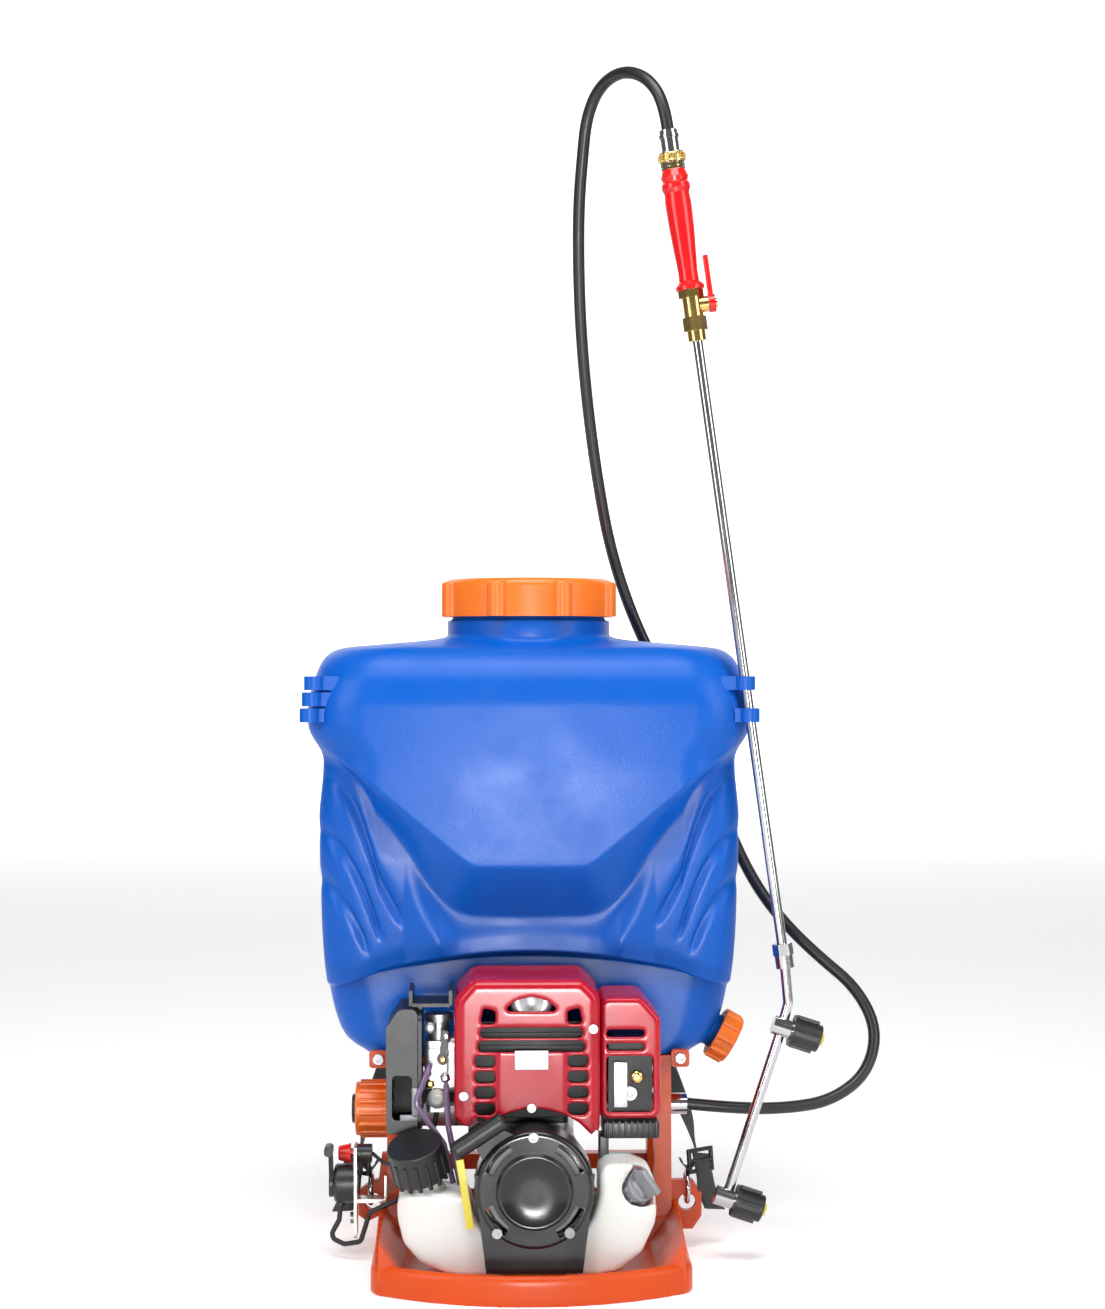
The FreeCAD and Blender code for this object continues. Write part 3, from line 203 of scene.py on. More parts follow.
def noise(tree, coords, scale, detail=4.0, rough=0.55):
    node = add(tree, "ShaderNodeTexNoise")
    node.inputs["Scale"].default_value = scale
    node.inputs["Detail"].default_value = detail
    node.inputs["Roughness"].default_value = rough
    tree.links.new(coords, node.inputs["Vector"])
    return node.outputs["Fac"]


def remap(tree, value, low, high, start=0.3, end=0.7):
    node = add(tree, "ShaderNodeMapRange")
    node.inputs["From Min"].default_value = start
    node.inputs["From Max"].default_value = end
    node.inputs["To Min"].default_value = low
    node.inputs["To Max"].default_value = high
    tree.links.new(value, node.inputs["Value"])
    return node.outputs["Result"]


def blend_tones(tree, factor, first, second):
    node = tree.nodes.new("ShaderNodeMix")
    node.data_type = "RGBA"
    node.inputs["A"].default_value = (*first, 1.0)
    node.inputs["B"].default_value = (*second, 1.0)
    tree.links.new(factor, node.inputs["Factor"])
    return node.outputs["Result"]


def bump(tree, height, strength, distance, under=None):
    node = add(tree, "ShaderNodeBump")
    node.inputs["Strength"].default_value = strength
    node.inputs["Distance"].default_value = distance
    tree.links.new(height, node.inputs["Height"])
    if under is not None:
        tree.links.new(under, node.inputs["Normal"])
    return node.outputs["Normal"]


# %% One finish from a few numbers
def finish(name, light, dark, rough, grain_scale, grain, metal=0.0, wear=0.0, **sockets):
    """A moulded, painted or metal finish: two tones, broken gloss, fine grain and slow waviness."""
    material = bpy.data.materials.new(name)
    material.use_nodes = True
    tree = material.node_tree
    shader = tree.nodes["Principled BSDF"]
    coords = add(tree, "ShaderNodeTexCoord").outputs["Object"]
    cloud = noise(tree, coords, 9.0)
    colour = blend_tones(tree, remap(tree, cloud, 0.0, 1.0), light, dark)
    if wear > 0.0:
        scuff = noise(tree, coords, 55.0, 8.0, 0.7)
        worn = tuple(min(1.0, channel * 1.5 + 0.05) for channel in light)
        mixer = tree.nodes.new("ShaderNodeMix")
        mixer.data_type = "RGBA"
        mixer.inputs["B"].default_value = (*worn, 1.0)
        tree.links.new(colour, mixer.inputs["A"])
        tree.links.new(remap(tree, scuff, 0.0, wear, 0.60, 0.78), mixer.inputs["Factor"])
        colour = mixer.outputs["Result"]
    tree.links.new(colour, shader.inputs["Base Color"])
    gloss = noise(tree, coords, 24.0, 5.0)
    tree.links.new(remap(tree, gloss, rough - 0.05, rough + 0.07), shader.inputs["Roughness"])
    fine = bump(tree, noise(tree, coords, grain_scale, 3.0), grain, 0.0006)
    slow = bump(tree, noise(tree, coords, 14.0, 2.0), 0.05, 0.002, fine)
    tree.links.new(slow, shader.inputs["Normal"])
    shader.inputs["Metallic"].default_value = metal
    for socket, value in sockets.items():
        shader.inputs[socket.replace("_", " ")].default_value = value
    return material


def dress(material, *names):
    """Gives CAD nodes a finish by setting their own material slot."""
    for name in names:
        mesh = NODES[name].data
        if len(mesh.materials) == 0:
            mesh.materials.append(material)
        for index in range(len(mesh.materials)):
            mesh.materials[index] = material


# %% The finishes of this machine
TANK_BLUE = finish("tank_blue", (0.0002, 0.098, 0.50), (0.0002, 0.088, 0.46), 0.35, 560.0, 0.22,
                   Specular_IOR_Level=0.22)
ORANGE = finish("orange_moulding", (0.66, 0.070, 0.003), (0.56, 0.055, 0.002), 0.36, 420.0, 0.12, wear=0.03,
                Specular_IOR_Level=0.25)
CAP_ORANGE = finish("cap_orange", (0.92, 0.19, 0.015), (0.86, 0.16, 0.01), 0.30, 300.0, 0.05)
RED_COVER = finish("red_cover", (0.50, 0.004, 0.020), (0.42, 0.003, 0.016), 0.22, 260.0, 0.03,
                   Specular_IOR_Level=0.3, Coat_Weight=0.12, Coat_Roughness=0.15)
RED_GRIP = finish("red_grip", (0.72, 0.008, 0.010), (0.62, 0.006, 0.008), 0.22, 240.0, 0.03)
BLACK_PLASTIC = finish("black_plastic", (0.012, 0.012, 0.013), (0.006, 0.006, 0.007), 0.40, 700.0, 0.25,
                       wear=0.08)
BLACK_GLOSS = finish("black_gloss", (0.010, 0.010, 0.011), (0.006, 0.006, 0.006), 0.22, 300.0, 0.04)
BLACK_METAL = finish("black_metal", (0.020, 0.020, 0.020), (0.010, 0.010, 0.010), 0.5, 380.0, 0.3, 0.4,
                     wear=0.2)
HOSE_RUBBER = finish("hose_rubber", (0.014, 0.014, 0.015), (0.008, 0.008, 0.009), 0.33, 900.0, 0.18)
RUBBER = finish("black_rubber", (0.016, 0.016, 0.016), (0.010, 0.010, 0.010), 0.6, 600.0, 0.3)
CHROME = finish("bright_steel", (0.56, 0.56, 0.58), (0.46, 0.46, 0.48), 0.14, 180.0, 0.02, 1.0)
STEEL = finish("screw_steel", (0.26, 0.26, 0.27), (0.16, 0.16, 0.17), 0.30, 300.0, 0.10, 0.9)
ZINC = finish("zinc_plate", (0.62, 0.61, 0.56), (0.50, 0.49, 0.44), 0.30, 300.0, 0.10, 1.0, wear=0.15)
ALLOY = finish("cast_alloy", (0.50, 0.51, 0.52), (0.38, 0.39, 0.40), 0.42, 420.0, 0.35, 0.9, wear=0.1)
BRASS = finish("brass", (0.72, 0.50, 0.18), (0.60, 0.40, 0.13), 0.20, 260.0, 0.04, 1.0)
GREY_PLASTIC = finish("grey_plastic", (0.30, 0.31, 0.33), (0.24, 0.25, 0.27), 0.35, 380.0, 0.10)
FOAM = finish("filter_foam", (0.05, 0.05, 0.05), (0.02, 0.02, 0.02), 0.9, 300.0, 0.9)
MILKY = finish("milky_tank", (0.74, 0.75, 0.73), (0.68, 0.69, 0.66), 0.32, 200.0, 0.05,
               Subsurface_Weight=0.55, Subsurface_Scale=0.012)
CLEAR_BULB = finish("primer_rubber", (0.72, 0.72, 0.68), (0.62, 0.62, 0.58), 0.2, 200.0, 0.02,
                    Subsurface_Weight=0.3, Subsurface_Scale=0.004)
FUEL_LINE = finish("fuel_line", (0.20, 0.13, 0.24), (0.14, 0.09, 0.18), 0.15, 200.0, 0.02)
print("finishes", len(bpy.data.materials))

# %% Dress the CAD pieces
dress(ORANGE, "base_tray", "support_frame")
dress(CAP_ORANGE, "tank_cap", "drain_cap", "filter_cap")
dress(TANK_BLUE, "tank_shell", "lance_clips")
dress(RED_COVER, "top_cover", "muffler_cover")
dress(RED_GRIP, "lance_grip", "valve_lever", "stop_button")
dress(BLACK_GLOSS, "starter_housing", "starter_badge")
dress(BLACK_PLASTIC, "air_filter_cover", "air_filter_base", "starter_handle", "fuel_cap", "throttle_housing",
      "throttle_lever", "choke_lever", "strap_buckles", "nozzle_cap_upper", "nozzle_cap_lower")
dress(BLACK_METAL, "cylinder_block")
dress(RUBBER, "rubber_mounts", "gaskets", "suction_pipe", "control_cables", "spark_plug", "starter_rope")
dress(STEEL, "screws")
dress(CHROME, "outlet_fitting", "lance_fittings", "lance_tube", "boom_tube", "strap_links",
      "crankshaft", "clutch_drum")
dress(ZINC, "control_bracket")
dress(ALLOY, "pump_body", "crankcase", "carburettor", "flywheel", "piston_and_rod", "clutch_shoes")
dress(BRASS, "lance_valve", "pump_drive_gear", "pump_idler_gear")
dress(BLACK_METAL, "muffler")
dress(GREY_PLASTIC, "oil_cap", "tank_strainer", "starter_reel")
dress(FOAM, "air_filter_element")
dress(MILKY, "fuel_tank")
dress(CLEAR_BULB, "primer_bulb")
dress(FUEL_LINE, "fuel_lines")

# %% Hose onto the frame
hose.data.materials.append(HOSE_RUBBER)
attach(hose, MACHINE)
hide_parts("hose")

# %% [markdown]
# ## The tank
# The real tank is blow-moulded: one skin with soft corners, a raised shield on its front, three diagonal
# flutes on each side, and a recess under it that makes room for the engine. A loft gives only the plain
# body, and sculpting by hand can't be repeated. So we build it as a grid: each row is a rounded rectangle
# whose width and depth come from a few heights, and the shield and flutes push the surface along its normal.

# %% Tank measures, in millimetres
WIDTH_AT = [(175, 142), (180, 154), (190, 164), (204, 169), (232, 173), (250, 176), (270, 180), (310, 184),
            (350, 185.5), (392, 186), (425, 182.5), (441, 182), (450, 186), (458, 192), (468, 196), (484, 196),
            (498, 193.5), (510, 190), (524, 185), (532, 179), (538, 168), (543, 142), (546, 106), (549, 82)]
FRONT_AT = [(175, -62), (262, -88), (285, -97), (350, -106), (430, -109), (490, -109), (510, -105),
            (524, -98), (534, -89), (540, -80), (544, -72), (549, -70)]
BACK_AT = [(175, 66), (186, 82), (232, 96), (300, 106), (440, 109), (500, 108), (516, 104), (530, 94),
           (540, 80), (549, 70)]
SHIELD_TOP = [(0, 347), (46, 347), (54, 350), (155, 432), (163, 439), (190, 455), (200, 458)]
SHIELD_FOOT = [(0, 301), (50, 302), (65, 306), (78, 317), (91, 334), (106, 360), (124, 383), (160, 419),
              (200, 450)]
FLUTES = [((176, 417), (110, 293)), ((184, 375), (130, 281)), ((186, 336), (150, 268))]
ARCH_TOP, ARCH_RADIUS = 270.0, 500.0
LOWER_FRONT = -54.0
CORNER = 52.0
NECK = 73.5


def curve_through(table, at):
    """A smooth line through (place, value) pairs: straight pieces, softened by a short average."""
    places, values = zip(*table)
    total = np.zeros_like(at, dtype=float)
    for shift in (-4.0, -2.0, 0.0, 2.0, 4.0):
        total += np.interp(at + shift, places, values)
    return total / 5.0


def ease(t):
    t = np.clip(t, 0.0, 1.0)
    return t * t * (3.0 - 2.0 * t)


# %% Perimeter of one row
def rounded_row(half, front, back, corner, counts):
    """Points and outward normals round a rounded rectangle, anticlockwise from its front left."""
    n_front, n_corner, n_side, n_back = counts
    quarter = math.pi / 2
    corners = [(half - corner, front + corner, -quarter), (half - corner, back - corner, 0.0),
               (-half + corner, back - corner, quarter), (-half + corner, front + corner, 2 * quarter)]
    points, normals = [], []
    straight = [n_front, n_side, n_back, n_side]
    for index, (cx, cy, start) in enumerate(corners):
        before = corners[index - 1]
        line_normal = (math.cos(start), math.sin(start))
        from_x = before[0] + corner * math.cos(start)
        from_y = before[1] + corner * math.sin(start)
        to_x = cx + corner * math.cos(start)
        to_y = cy + corner * math.sin(start)
        for step in range(straight[index]):
            share = step / straight[index]
            points.append((from_x + (to_x - from_x) * share, from_y + (to_y - from_y) * share))
            normals.append(line_normal)
        for step in range(n_corner):
            angle = start + quarter * step / n_corner
            points.append((cx + corner * math.cos(angle), cy + corner * math.sin(angle)))
            normals.append((math.cos(angle), math.sin(angle)))
    return np.array(points), np.array(normals)


# %% Shield, flutes and the recess below
def shield_depth(x, z):
    """How far the skin lies behind the shield's face."""
    side = np.abs(x)
    top = curve_through(SHIELD_TOP, side)
    foot = curve_through(SHIELD_FOOT, side)
    part = np.clip((top - z) / np.maximum(top - foot, 6.0), 0.0, 1.0)
    fall = 0.7 * part + 0.3 * ease(part)
    back_out = ease((foot - z) / 48.0) * np.clip((120.0 - side) / 40.0, 0.25, 1.0)
    return 27.0 * fall - 13.0 * back_out


def flute_depth(x, z):
    total = np.zeros_like(x)
    for (x0, z0), (x1, z1) in FLUTES:
        dx, dz = x1 - x0, z1 - z0
        length = math.hypot(dx, dz)
        along = ((np.abs(x) - x0) * dx + (z - z0) * dz) / length
        away = ((np.abs(x) - x0) * dz - (z - z0) * dx) / length
        fade = ease((along + 14.0) / 26.0) * ease((length + 6.0 - along) / 24.0)
        total += fade * 4.6 * np.exp(-(away / 3.6) ** 2)
    return total


def arch_height(x):
    return ARCH_TOP - (ARCH_RADIUS - np.sqrt(ARCH_RADIUS ** 2 - np.clip(np.abs(x), 0, 173.0) ** 2))


# %% Build the tank's grid
COUNTS = (160, 34, 14, 30)
row_heights = np.concatenate([np.linspace(175, 252, 34), np.linspace(254, 286, 26), np.linspace(288, 440, 100),
                              np.linspace(442, 524, 38), np.linspace(526, 549, 18)])
rows = []
for base_z in row_heights:
    half = float(curve_through(WIDTH_AT, np.array([base_z]))[0])
    front = float(curve_through(FRONT_AT, np.array([base_z]))[0])
    back = float(curve_through(BACK_AT, np.array([base_z]))[0])
    corner = min(CORNER, (back - front) / 2 - 4, half - 10)
    points, normals = rounded_row(half, front, back, corner, COUNTS)
    low_points, _ = rounded_row(half, LOWER_FRONT, back, 36.0, COUNTS)
    x = points[:, 0]
    warp = ease((base_z - 178) / 80) * ease((345 - base_z) / 60)
    z = base_z + (arch_height(x) - ARCH_TOP) * warp
    facing = np.clip(-normals[:, 1], 0.0, 1.0)
    crown = 9.0 * (x / 190.0) ** 2 * facing
    skin = points.copy()
    skin[:, 1] += crown
    flute_share = np.clip(facing * 2.0 + 0.35, 0, 1) * (normals[:, 1] < 0.3)
    push = shield_depth(x, z) * facing ** 1.5 + flute_depth(x, z) * flute_share
    push *= ease((base_z - 230) / 30)
    skin -= normals * push[:, None]
    under = ease((arch_height(x) + 1.0 - z) / 7.0)[:, None] * (normals[:, 1] < 0.5)[:, None]
    skin = skin * (1 - under) + low_points * under
    circle_share = float(ease(np.array([(base_z - 536) / 13]))[0])
    angle = np.arctan2(skin[:, 1], skin[:, 0])
    circle = np.stack([np.cos(angle), np.sin(angle)], 1) * NECK
    if circle_share > 0:
        skin = skin * (1 - circle_share) + circle * circle_share
    rows.append(np.column_stack([skin, z]))
ring_size = len(rows[0])
NECK_ROWS = [(73.5, 551), (73.5, 560), (73.0, 561.5), (70.0, 562), (69.0, 564), (69.0, 579.5), (68.5, 580),
             (65.0, 580), (64.5, 579), (64.5, 552)]
angle = np.arctan2(rows[-1][:, 1], rows[-1][:, 0])
for radius, z in NECK_ROWS:
    rows.append(np.column_stack([radius * np.cos(angle), radius * np.sin(angle),
                                 np.full(ring_size, float(z))]))
print("tank rows", len(rows), "points round", ring_size)


# %% Mesh helpers
def mesh_piece(name, points, faces, material, smooth=True):
    mesh = bpy.data.meshes.new(name)
    mesh.from_pydata([tuple(map(float, p)) for p in points], [], faces)
    mesh.materials.append(material)
    mesh.update()
    thing = new_object(name, mesh)
    work = bmesh.new()
    work.from_mesh(mesh)
    bmesh.ops.remove_doubles(work, verts=work.verts, dist=1e-6)
    bmesh.ops.recalc_face_normals(work, faces=work.faces)
    work.to_mesh(mesh)
    work.free()
    mesh.polygons.foreach_set("use_smooth", [smooth] * len(mesh.polygons))
    return thing


def ring_faces(row_count, size, offset=0):
    faces = []
    for row in range(row_count - 1):
        for index in range(size):
            after = (index + 1) % size
            first = offset + row * size
            second = first + size
            faces.append((first + index, first + after, second + after, second + index))
    return faces


def closed_rings(name, rings, material, smooth=True):
    """Skins a stack of equal rings and closes both ends with a fan."""
    size = len(rings[0])
    points = np.concatenate(rings)
    faces = ring_faces(len(rings), size)
    low, high = len(points), len(points) + 1
    points = np.vstack([points, rings[0].mean(axis=0), rings[-1].mean(axis=0)])
    last = (len(rings) - 1) * size
    for index in range(size):
        after = (index + 1) % size
        faces.append((low, after, index))
        faces.append((high, last + index, last + after))
    return mesh_piece(name, points, faces, material, smooth)


def join(target, *others):
    """Joins finished pieces of one material into the first."""
    work = bmesh.new()
    work.from_mesh(target.data)
    for other in others:
        work.from_mesh(other.data)
        bpy.data.objects.remove(other)
    work.to_mesh(target.data)
    work.free()
    return target


def ride_as(piece, body, slot_name, *nodes):
    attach(piece, body)
    if nodes:
        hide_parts(*nodes)
    return piece


tank = closed_rings("tank_skin", [row * MM for row in rows], TANK_BLUE)


# %% Spigot and strap lugs of the tank
def turned(name, start, end, profile, material, sides=48):
    """A piece turned about the line from start to end; the profile is (share of length, radius)."""
    start, end = Vector(start) * MM, Vector(end) * MM
    axis = end - start
    side = axis.orthogonal().normalized()
    across = axis.normalized().cross(side)
    rings = []
    for share, radius in profile:
        centre = start + axis * share
        ring = []
        for step in range(sides):
            angle = 2 * math.pi * step / sides
            ring.append(centre + (side * math.cos(angle) + across * math.sin(angle)) * radius * MM)
        rings.append(np.array([tuple(p) for p in ring]))
    return closed_rings(name, rings, material)


def soft_block(name, low, high, radius, material, segments=3):
    """A block with every edge rounded, its place in its mesh."""
    mesh = bpy.data.meshes.new(name)
    work = bmesh.new()
    bmesh.ops.create_cube(work, size=1.0)
    for vert in work.verts:
        for axis in range(3):
            middle = (low[axis] + high[axis]) / 2
            vert.co[axis] = (middle + vert.co[axis] * (high[axis] - low[axis])) * MM
    bmesh.ops.bevel(work, geom=work.edges[:], offset=radius * MM, segments=segments, profile=0.5,
                    affect="EDGES")
    bmesh.ops.recalc_face_normals(work, faces=work.faces)
    work.to_mesh(mesh)
    work.free()
    mesh.materials.append(material)
    mesh.polygons.foreach_set("use_smooth", [True] * len(mesh.polygons))
    return new_object(name, mesh)


spigot = turned("spigot", (151, -20, 200.8), (175.2, -20, 187.2),
                [(0, 21), (0.35, 19), (0.5, 15.2), (1.0, 15)], TANK_BLUE)
lugs = []
for side in (-1, 1):
    for edge in (-22, 22):
        x = side * 62 + edge
        lugs.append(soft_block("lug", (x - 4, 103, 460), (x + 4, 118, 476), 1.8, TANK_BLUE))
    lugs.append(soft_block("lug_bar", (side * 62 - 26, 114.6, 460), (side * 62 + 26, 118, 476), 1.5,
                           TANK_BLUE))
tank = join(tank, spigot, *lugs)
ride_as(tank, MACHINE, "blue_tank", "tank_shell")
print("tank faces", len(tank.data.polygons))

# %% [markdown]
# ## The fuel tank and the base
# The milky fuel tank is moulded like a fat horseshoe with no sharp edge anywhere. Instead of guessing
# bevels, we take the CAD solid, rebuild its skin as small even cubes, and let a smoothing pass melt the
# corners. The wall keeps its place, and only the edges change.

# %% Melt a CAD solid's edges
def melted(name, node, voxel, rounds, material):
    """A copy of a CAD node with an even skin and soft edges."""
    mesh = NODES[node].data.copy()
    work = bmesh.new()
    work.from_mesh(mesh)
    bmesh.ops.remove_doubles(work, verts=work.verts, dist=1e-6)
    work.to_mesh(mesh)
    work.free()
    raw = new_object(name + "_raw", mesh)
    skin = raw.modifiers.new("skin", "REMESH")
    skin.mode = "VOXEL"
    skin.voxel_size = voxel
    melt = raw.modifiers.new("melt", "SMOOTH")
    melt.factor = 0.5
    melt.iterations = rounds
    depsgraph = bpy.context.evaluated_depsgraph_get()
    result = bpy.data.meshes.new_from_object(raw.evaluated_get(depsgraph))
    bpy.data.objects.remove(raw)
    result.materials.clear()
    result.materials.append(material)
    result.polygons.foreach_set("use_smooth", [True] * len(result.polygons))
    result.polygons.foreach_set("material_index", [0] * len(result.polygons))
    return new_object(name, result)


fuel_tank = ride_as(melted("fuel_tank_skin", "fuel_tank", 0.0022, 14, MILKY), MACHINE, "milky_tank",
                    "fuel_tank")
base = melted("base_skin", "base_tray", 0.0024, 5, ORANGE)


def bar_along_y(name, outline, y0, y1, material):
    """A straight bar with one outline (x, z) all along Y."""
    rings = [np.array([(x, y, z) for x, z in outline]) * MM for y in (y0, y0 + 1, y1 - 1, y1)]
    return closed_rings(name, rings, material, smooth=False)


ramps = [bar_along_y("left_ramp", [(-128, 12), (-106, 12), (-127, 44)], -196, -66, ORANGE),
         bar_along_y("right_ramp", [(104, 12), (128, 12), (127, 44)], -196, -66, ORANGE)]
ride_as(join(base, *ramps), MACHINE, "orange_moulding", "base_tray")
covers = {}
for node in ("top_cover", "muffler_cover"):
    covers[node] = ride_as(melted(node + "_skin", node, 0.0013, 5, RED_COVER), MACHINE, "red_cover", node)
print("fuel tank faces", len(fuel_tank.data.polygons), "base faces", len(base.data.polygons),
      "cover faces", [len(cover.data.polygons) for cover in covers.values()])

# %% [markdown]
# ## Small rows: ridges and stitches
# Knurls, thread lugs and stitches repeat along a line. Geometry Nodes suit them: a tree puts one small
# shape on evenly spaced points of a curve. The count and the sizes are named inputs of the tree, so one
# tree serves every row. The instances are realized and turned into a plain mesh before they join the machine.

# %% The row tree
def row_tree():
    tree = bpy.data.node_groups.new("row_of_beads", "GeometryNodeTree")
    face = tree.interface
    face.new_socket("Geometry", in_out="INPUT", socket_type="NodeSocketGeometry")
    for label, kind in (("Count", "NodeSocketInt"), ("Size", "NodeSocketVector"), ("Lean", "NodeSocketVector"),
                        ("Follow", "NodeSocketBool"), ("Material", "NodeSocketMaterial")):
        face.new_socket(label, in_out="INPUT", socket_type=kind)
    face.new_socket("Geometry", in_out="OUTPUT", socket_type="NodeSocketGeometry")
    source = tree.nodes.new("NodeGroupInput")
    target = tree.nodes.new("NodeGroupOutput")
    spread = tree.nodes.new("GeometryNodeCurveToPoints")
    spread.mode = "COUNT"
    bead = tree.nodes.new("GeometryNodeMeshUVSphere")
    bead.inputs["Segments"].default_value = 8
    bead.inputs["Rings"].default_value = 6
    bead.inputs["Radius"].default_value = 0.5
    choose = tree.nodes.new("GeometryNodeSwitch")
    choose.input_type = "VECTOR"
    align = tree.nodes.new("FunctionNodeAlignRotationToVector")
    align.axis = "Z"
    put = tree.nodes.new("GeometryNodeInstanceOnPoints")
    real = tree.nodes.new("GeometryNodeRealizeInstances")
    paint = tree.nodes.new("GeometryNodeSetMaterial")
    link = tree.links.new
    link(source.outputs["Geometry"], spread.inputs["Curve"])
    link(source.outputs["Count"], spread.inputs["Count"])
    link(source.outputs["Follow"], choose.inputs["Switch"])
    link(source.outputs["Lean"], choose.inputs["False"])
    link(spread.outputs["Tangent"], choose.inputs["True"])
    link(choose.outputs["Output"], align.inputs["Vector"])
    link(spread.outputs["Points"], put.inputs["Points"])
    link(bead.outputs["Mesh"], put.inputs["Instance"])
    link(align.outputs["Rotation"], put.inputs["Rotation"])
    link(source.outputs["Size"], put.inputs["Scale"])
    link(put.outputs["Instances"], real.inputs["Geometry"])
    link(real.outputs["Geometry"], paint.inputs["Geometry"])
    link(source.outputs["Material"], paint.inputs["Material"])
    link(paint.outputs["Geometry"], target.inputs["Geometry"])
    return tree


ROW_TREE = row_tree()


def row_of(name, line, count, size, material, lean=None, closed=False):
    """Beads of one size (width, depth, length in mm) along a line; lean is their long direction."""
    data = bpy.data.curves.new(name + "_line", "CURVE")
    data.dimensions = "3D"
    spline = data.splines.new("POLY")
    spline.points.add(len(line) - 1)
    for point, place in zip(spline.points, line):
        point.co = (place[0] * MM, place[1] * MM, place[2] * MM, 1.0)
    spline.use_cyclic_u = closed
    guide = new_object(name + "_line", data)
    rule = guide.modifiers.new("row", "NODES")
    rule.node_group = ROW_TREE
    sockets = {item.name: item.identifier for item in ROW_TREE.interface.items_tree if item.in_out == "INPUT"}
    rule[sockets["Count"]] = count
    rule[sockets["Size"]] = [value * MM for value in size]
    rule[sockets["Follow"]] = lean is None
    rule[sockets["Lean"]] = list(lean or (0.0, 0.0, 1.0))
    rule[sockets["Material"]] = material
    guide.update_tag()
    bpy.context.view_layer.update()
    depsgraph = bpy.context.evaluated_depsgraph_get()
    mesh = bpy.data.meshes.new_from_object(guide.evaluated_get(depsgraph), depsgraph=depsgraph)
    bpy.data.objects.remove(guide)
    if len(mesh.materials) == 0:
        mesh.materials.append(material)
    mesh.polygons.foreach_set("use_smooth", [True] * len(mesh.polygons))
    return new_object(name, mesh)


# %% Circles to lay rows on
def circle_line(centre, axis, radius, sides=72):
    axis = Vector(axis).normalized()
    side = axis.orthogonal().normalized()
    across = axis.cross(side)
    line = []
    for step in range(sides):
        angle = 2 * math.pi * step / sides
        line.append(tuple(Vector(centre) + (side * math.cos(angle) + across * math.sin(angle)) * radius))
    return line


LEAN = 0.1404
UP_LANCE = Vector((-LEAN, 0.0, 1.0)).normalized()


def on_lance(z):
    return (146.9 + (802.0 - z) * LEAN, -88.0, z)


# %% [markdown]
# ## Lance trim
# The lance is mostly good CAD: chrome tube, brass valve, red grip. It lacks the fine things the eye looks for:
# a knurled brass ring, turned steps on the ferrule, and the yellow spray tips.

# %% Brass ring, ferrule steps and spray tips
ring_face = turned("brass_ring", on_lance(961.0), on_lance(969.0),
                   [(0, 9), (0, 11.4), (0.12, 12.0), (0.88, 12.0), (1, 11.4), (1, 9)], BRASS)
knurl = row_of("knurl", circle_line(on_lance(965), UP_LANCE, 12.0), 40, (1.1, 1.1, 6.6), BRASS,
               lean=tuple(UP_LANCE), closed=True)
ride_as(join(ring_face, knurl), MACHINE, "brass_metal")
lower_brass = turned("brass_neck", on_lance(953.0), on_lance(961.0), [(0, 9.4), (0.1, 10.2), (0.3, 8.9), (0.5, 10.3),
                     (0.7, 8.9), (0.9, 10.2), (1, 9.4)], BRASS)
ride_as(lower_brass, MACHINE, "brass_metal")
YELLOW = finish("yellow_tip", (0.85, 0.72, 0.02), (0.78, 0.64, 0.01), 0.3, 300.0, 0.05)
NOZZLE_AXIS = Vector((0.95, 0.0, -0.311)).normalized()
NOZZLES = {"upper_cap_body": Vector((219.1, -88.0, 205.5)), "lower_cap_body": Vector((168.8, -88.0, 57.1))}
for body, start in NOZZLES.items():
    tip = turned("tip_" + body, start + NOZZLE_AXIS * 31.0, start + NOZZLE_AXIS * 39.4,
                 [(0, 5.0), (0.85, 5.2), (0.95, 4.9), (1.0, 3.4), (1.0, 1.4), (0.7, 1.2)], YELLOW, 24)
    ride_as(tip, body, "black_plastic")
print("lance trim done")

# %% [markdown]
# ## Engine trim
# Behind the red cover's slots a flat black sheet is painted shade: it stands in for the dark depth inside,
# and two alloy strips add a little metal. A plain silver disc shows in the crescent window, a white label
# sits on the raised panel, and the starter wears a turned badge.

# %% Labels, discs and bolts
WHITE_LABEL = finish("white_label", (0.82, 0.82, 0.80), (0.76, 0.76, 0.75), 0.35, 120.0, 0.02)
YELLOW_TAG = finish("yellow_tag", (0.80, 0.66, 0.02), (0.70, 0.56, 0.01), 0.4, 200.0, 0.05)
label = soft_block("plain_label", (-14, -167.2, 182), (14, -166.3, 198), 0.25, WHITE_LABEL)
ride_as(label, MACHINE, "red_cover")
tag = soft_block("yellow_tag", (-3.2, -0.6, -58), (3.2, 0.6, 0), 0.3, YELLOW_TAG)
tag.data.transform(Matrix.Translation((-0.0600, -0.193, 0.112)) @ Matrix.Rotation(math.radians(-9), 4, "Y"))
ride_as(tag, MACHINE, "black_plastic")
disc = turned("cooling_disc", (0, -150, 238), (0, -158, 238), [(0, 15), (0.4, 18), (1, 17), (1, 9), (0.6, 6)],
              ALLOY)
ride_as(disc, MACHINE, "cast_alloy")
# Painted shade: a flat black sheet just behind the cover's slots stands in for the dark depth inside; the two alloy
# strips are fins.
slot_painted_shade = join(soft_block("slot_painted_shade_sheet", (-56, -155, 140), (50, -153.5, 221), 0.5, BLACK_METAL),
              soft_block("fin_strip", (-44, -157, 197), (44, -155.2, 201), 0.4, ALLOY),
              soft_block("fin_strip_2", (-44, -157, 209), (44, -155.2, 212), 0.4, ALLOY))
ride_as(slot_painted_shade, MACHINE, "black_metal")
slab = soft_block("muffler_slab", (70, -147, 146), (82, -143.5, 185), 0.8, ALLOY)
ride_as(slab, MACHINE, "cast_alloy")
shroud = [soft_block("muffler_shroud", (61, -148, 120), (109, -96, 134), 1.5, BLACK_PLASTIC)]
for step in range(9):
    x = 64.5 + step * 5.2
    shroud.append(soft_block("shroud_fin", (x - 0.8, -152, 121), (x + 0.8, -147, 135.5), 0.4, BLACK_PLASTIC))
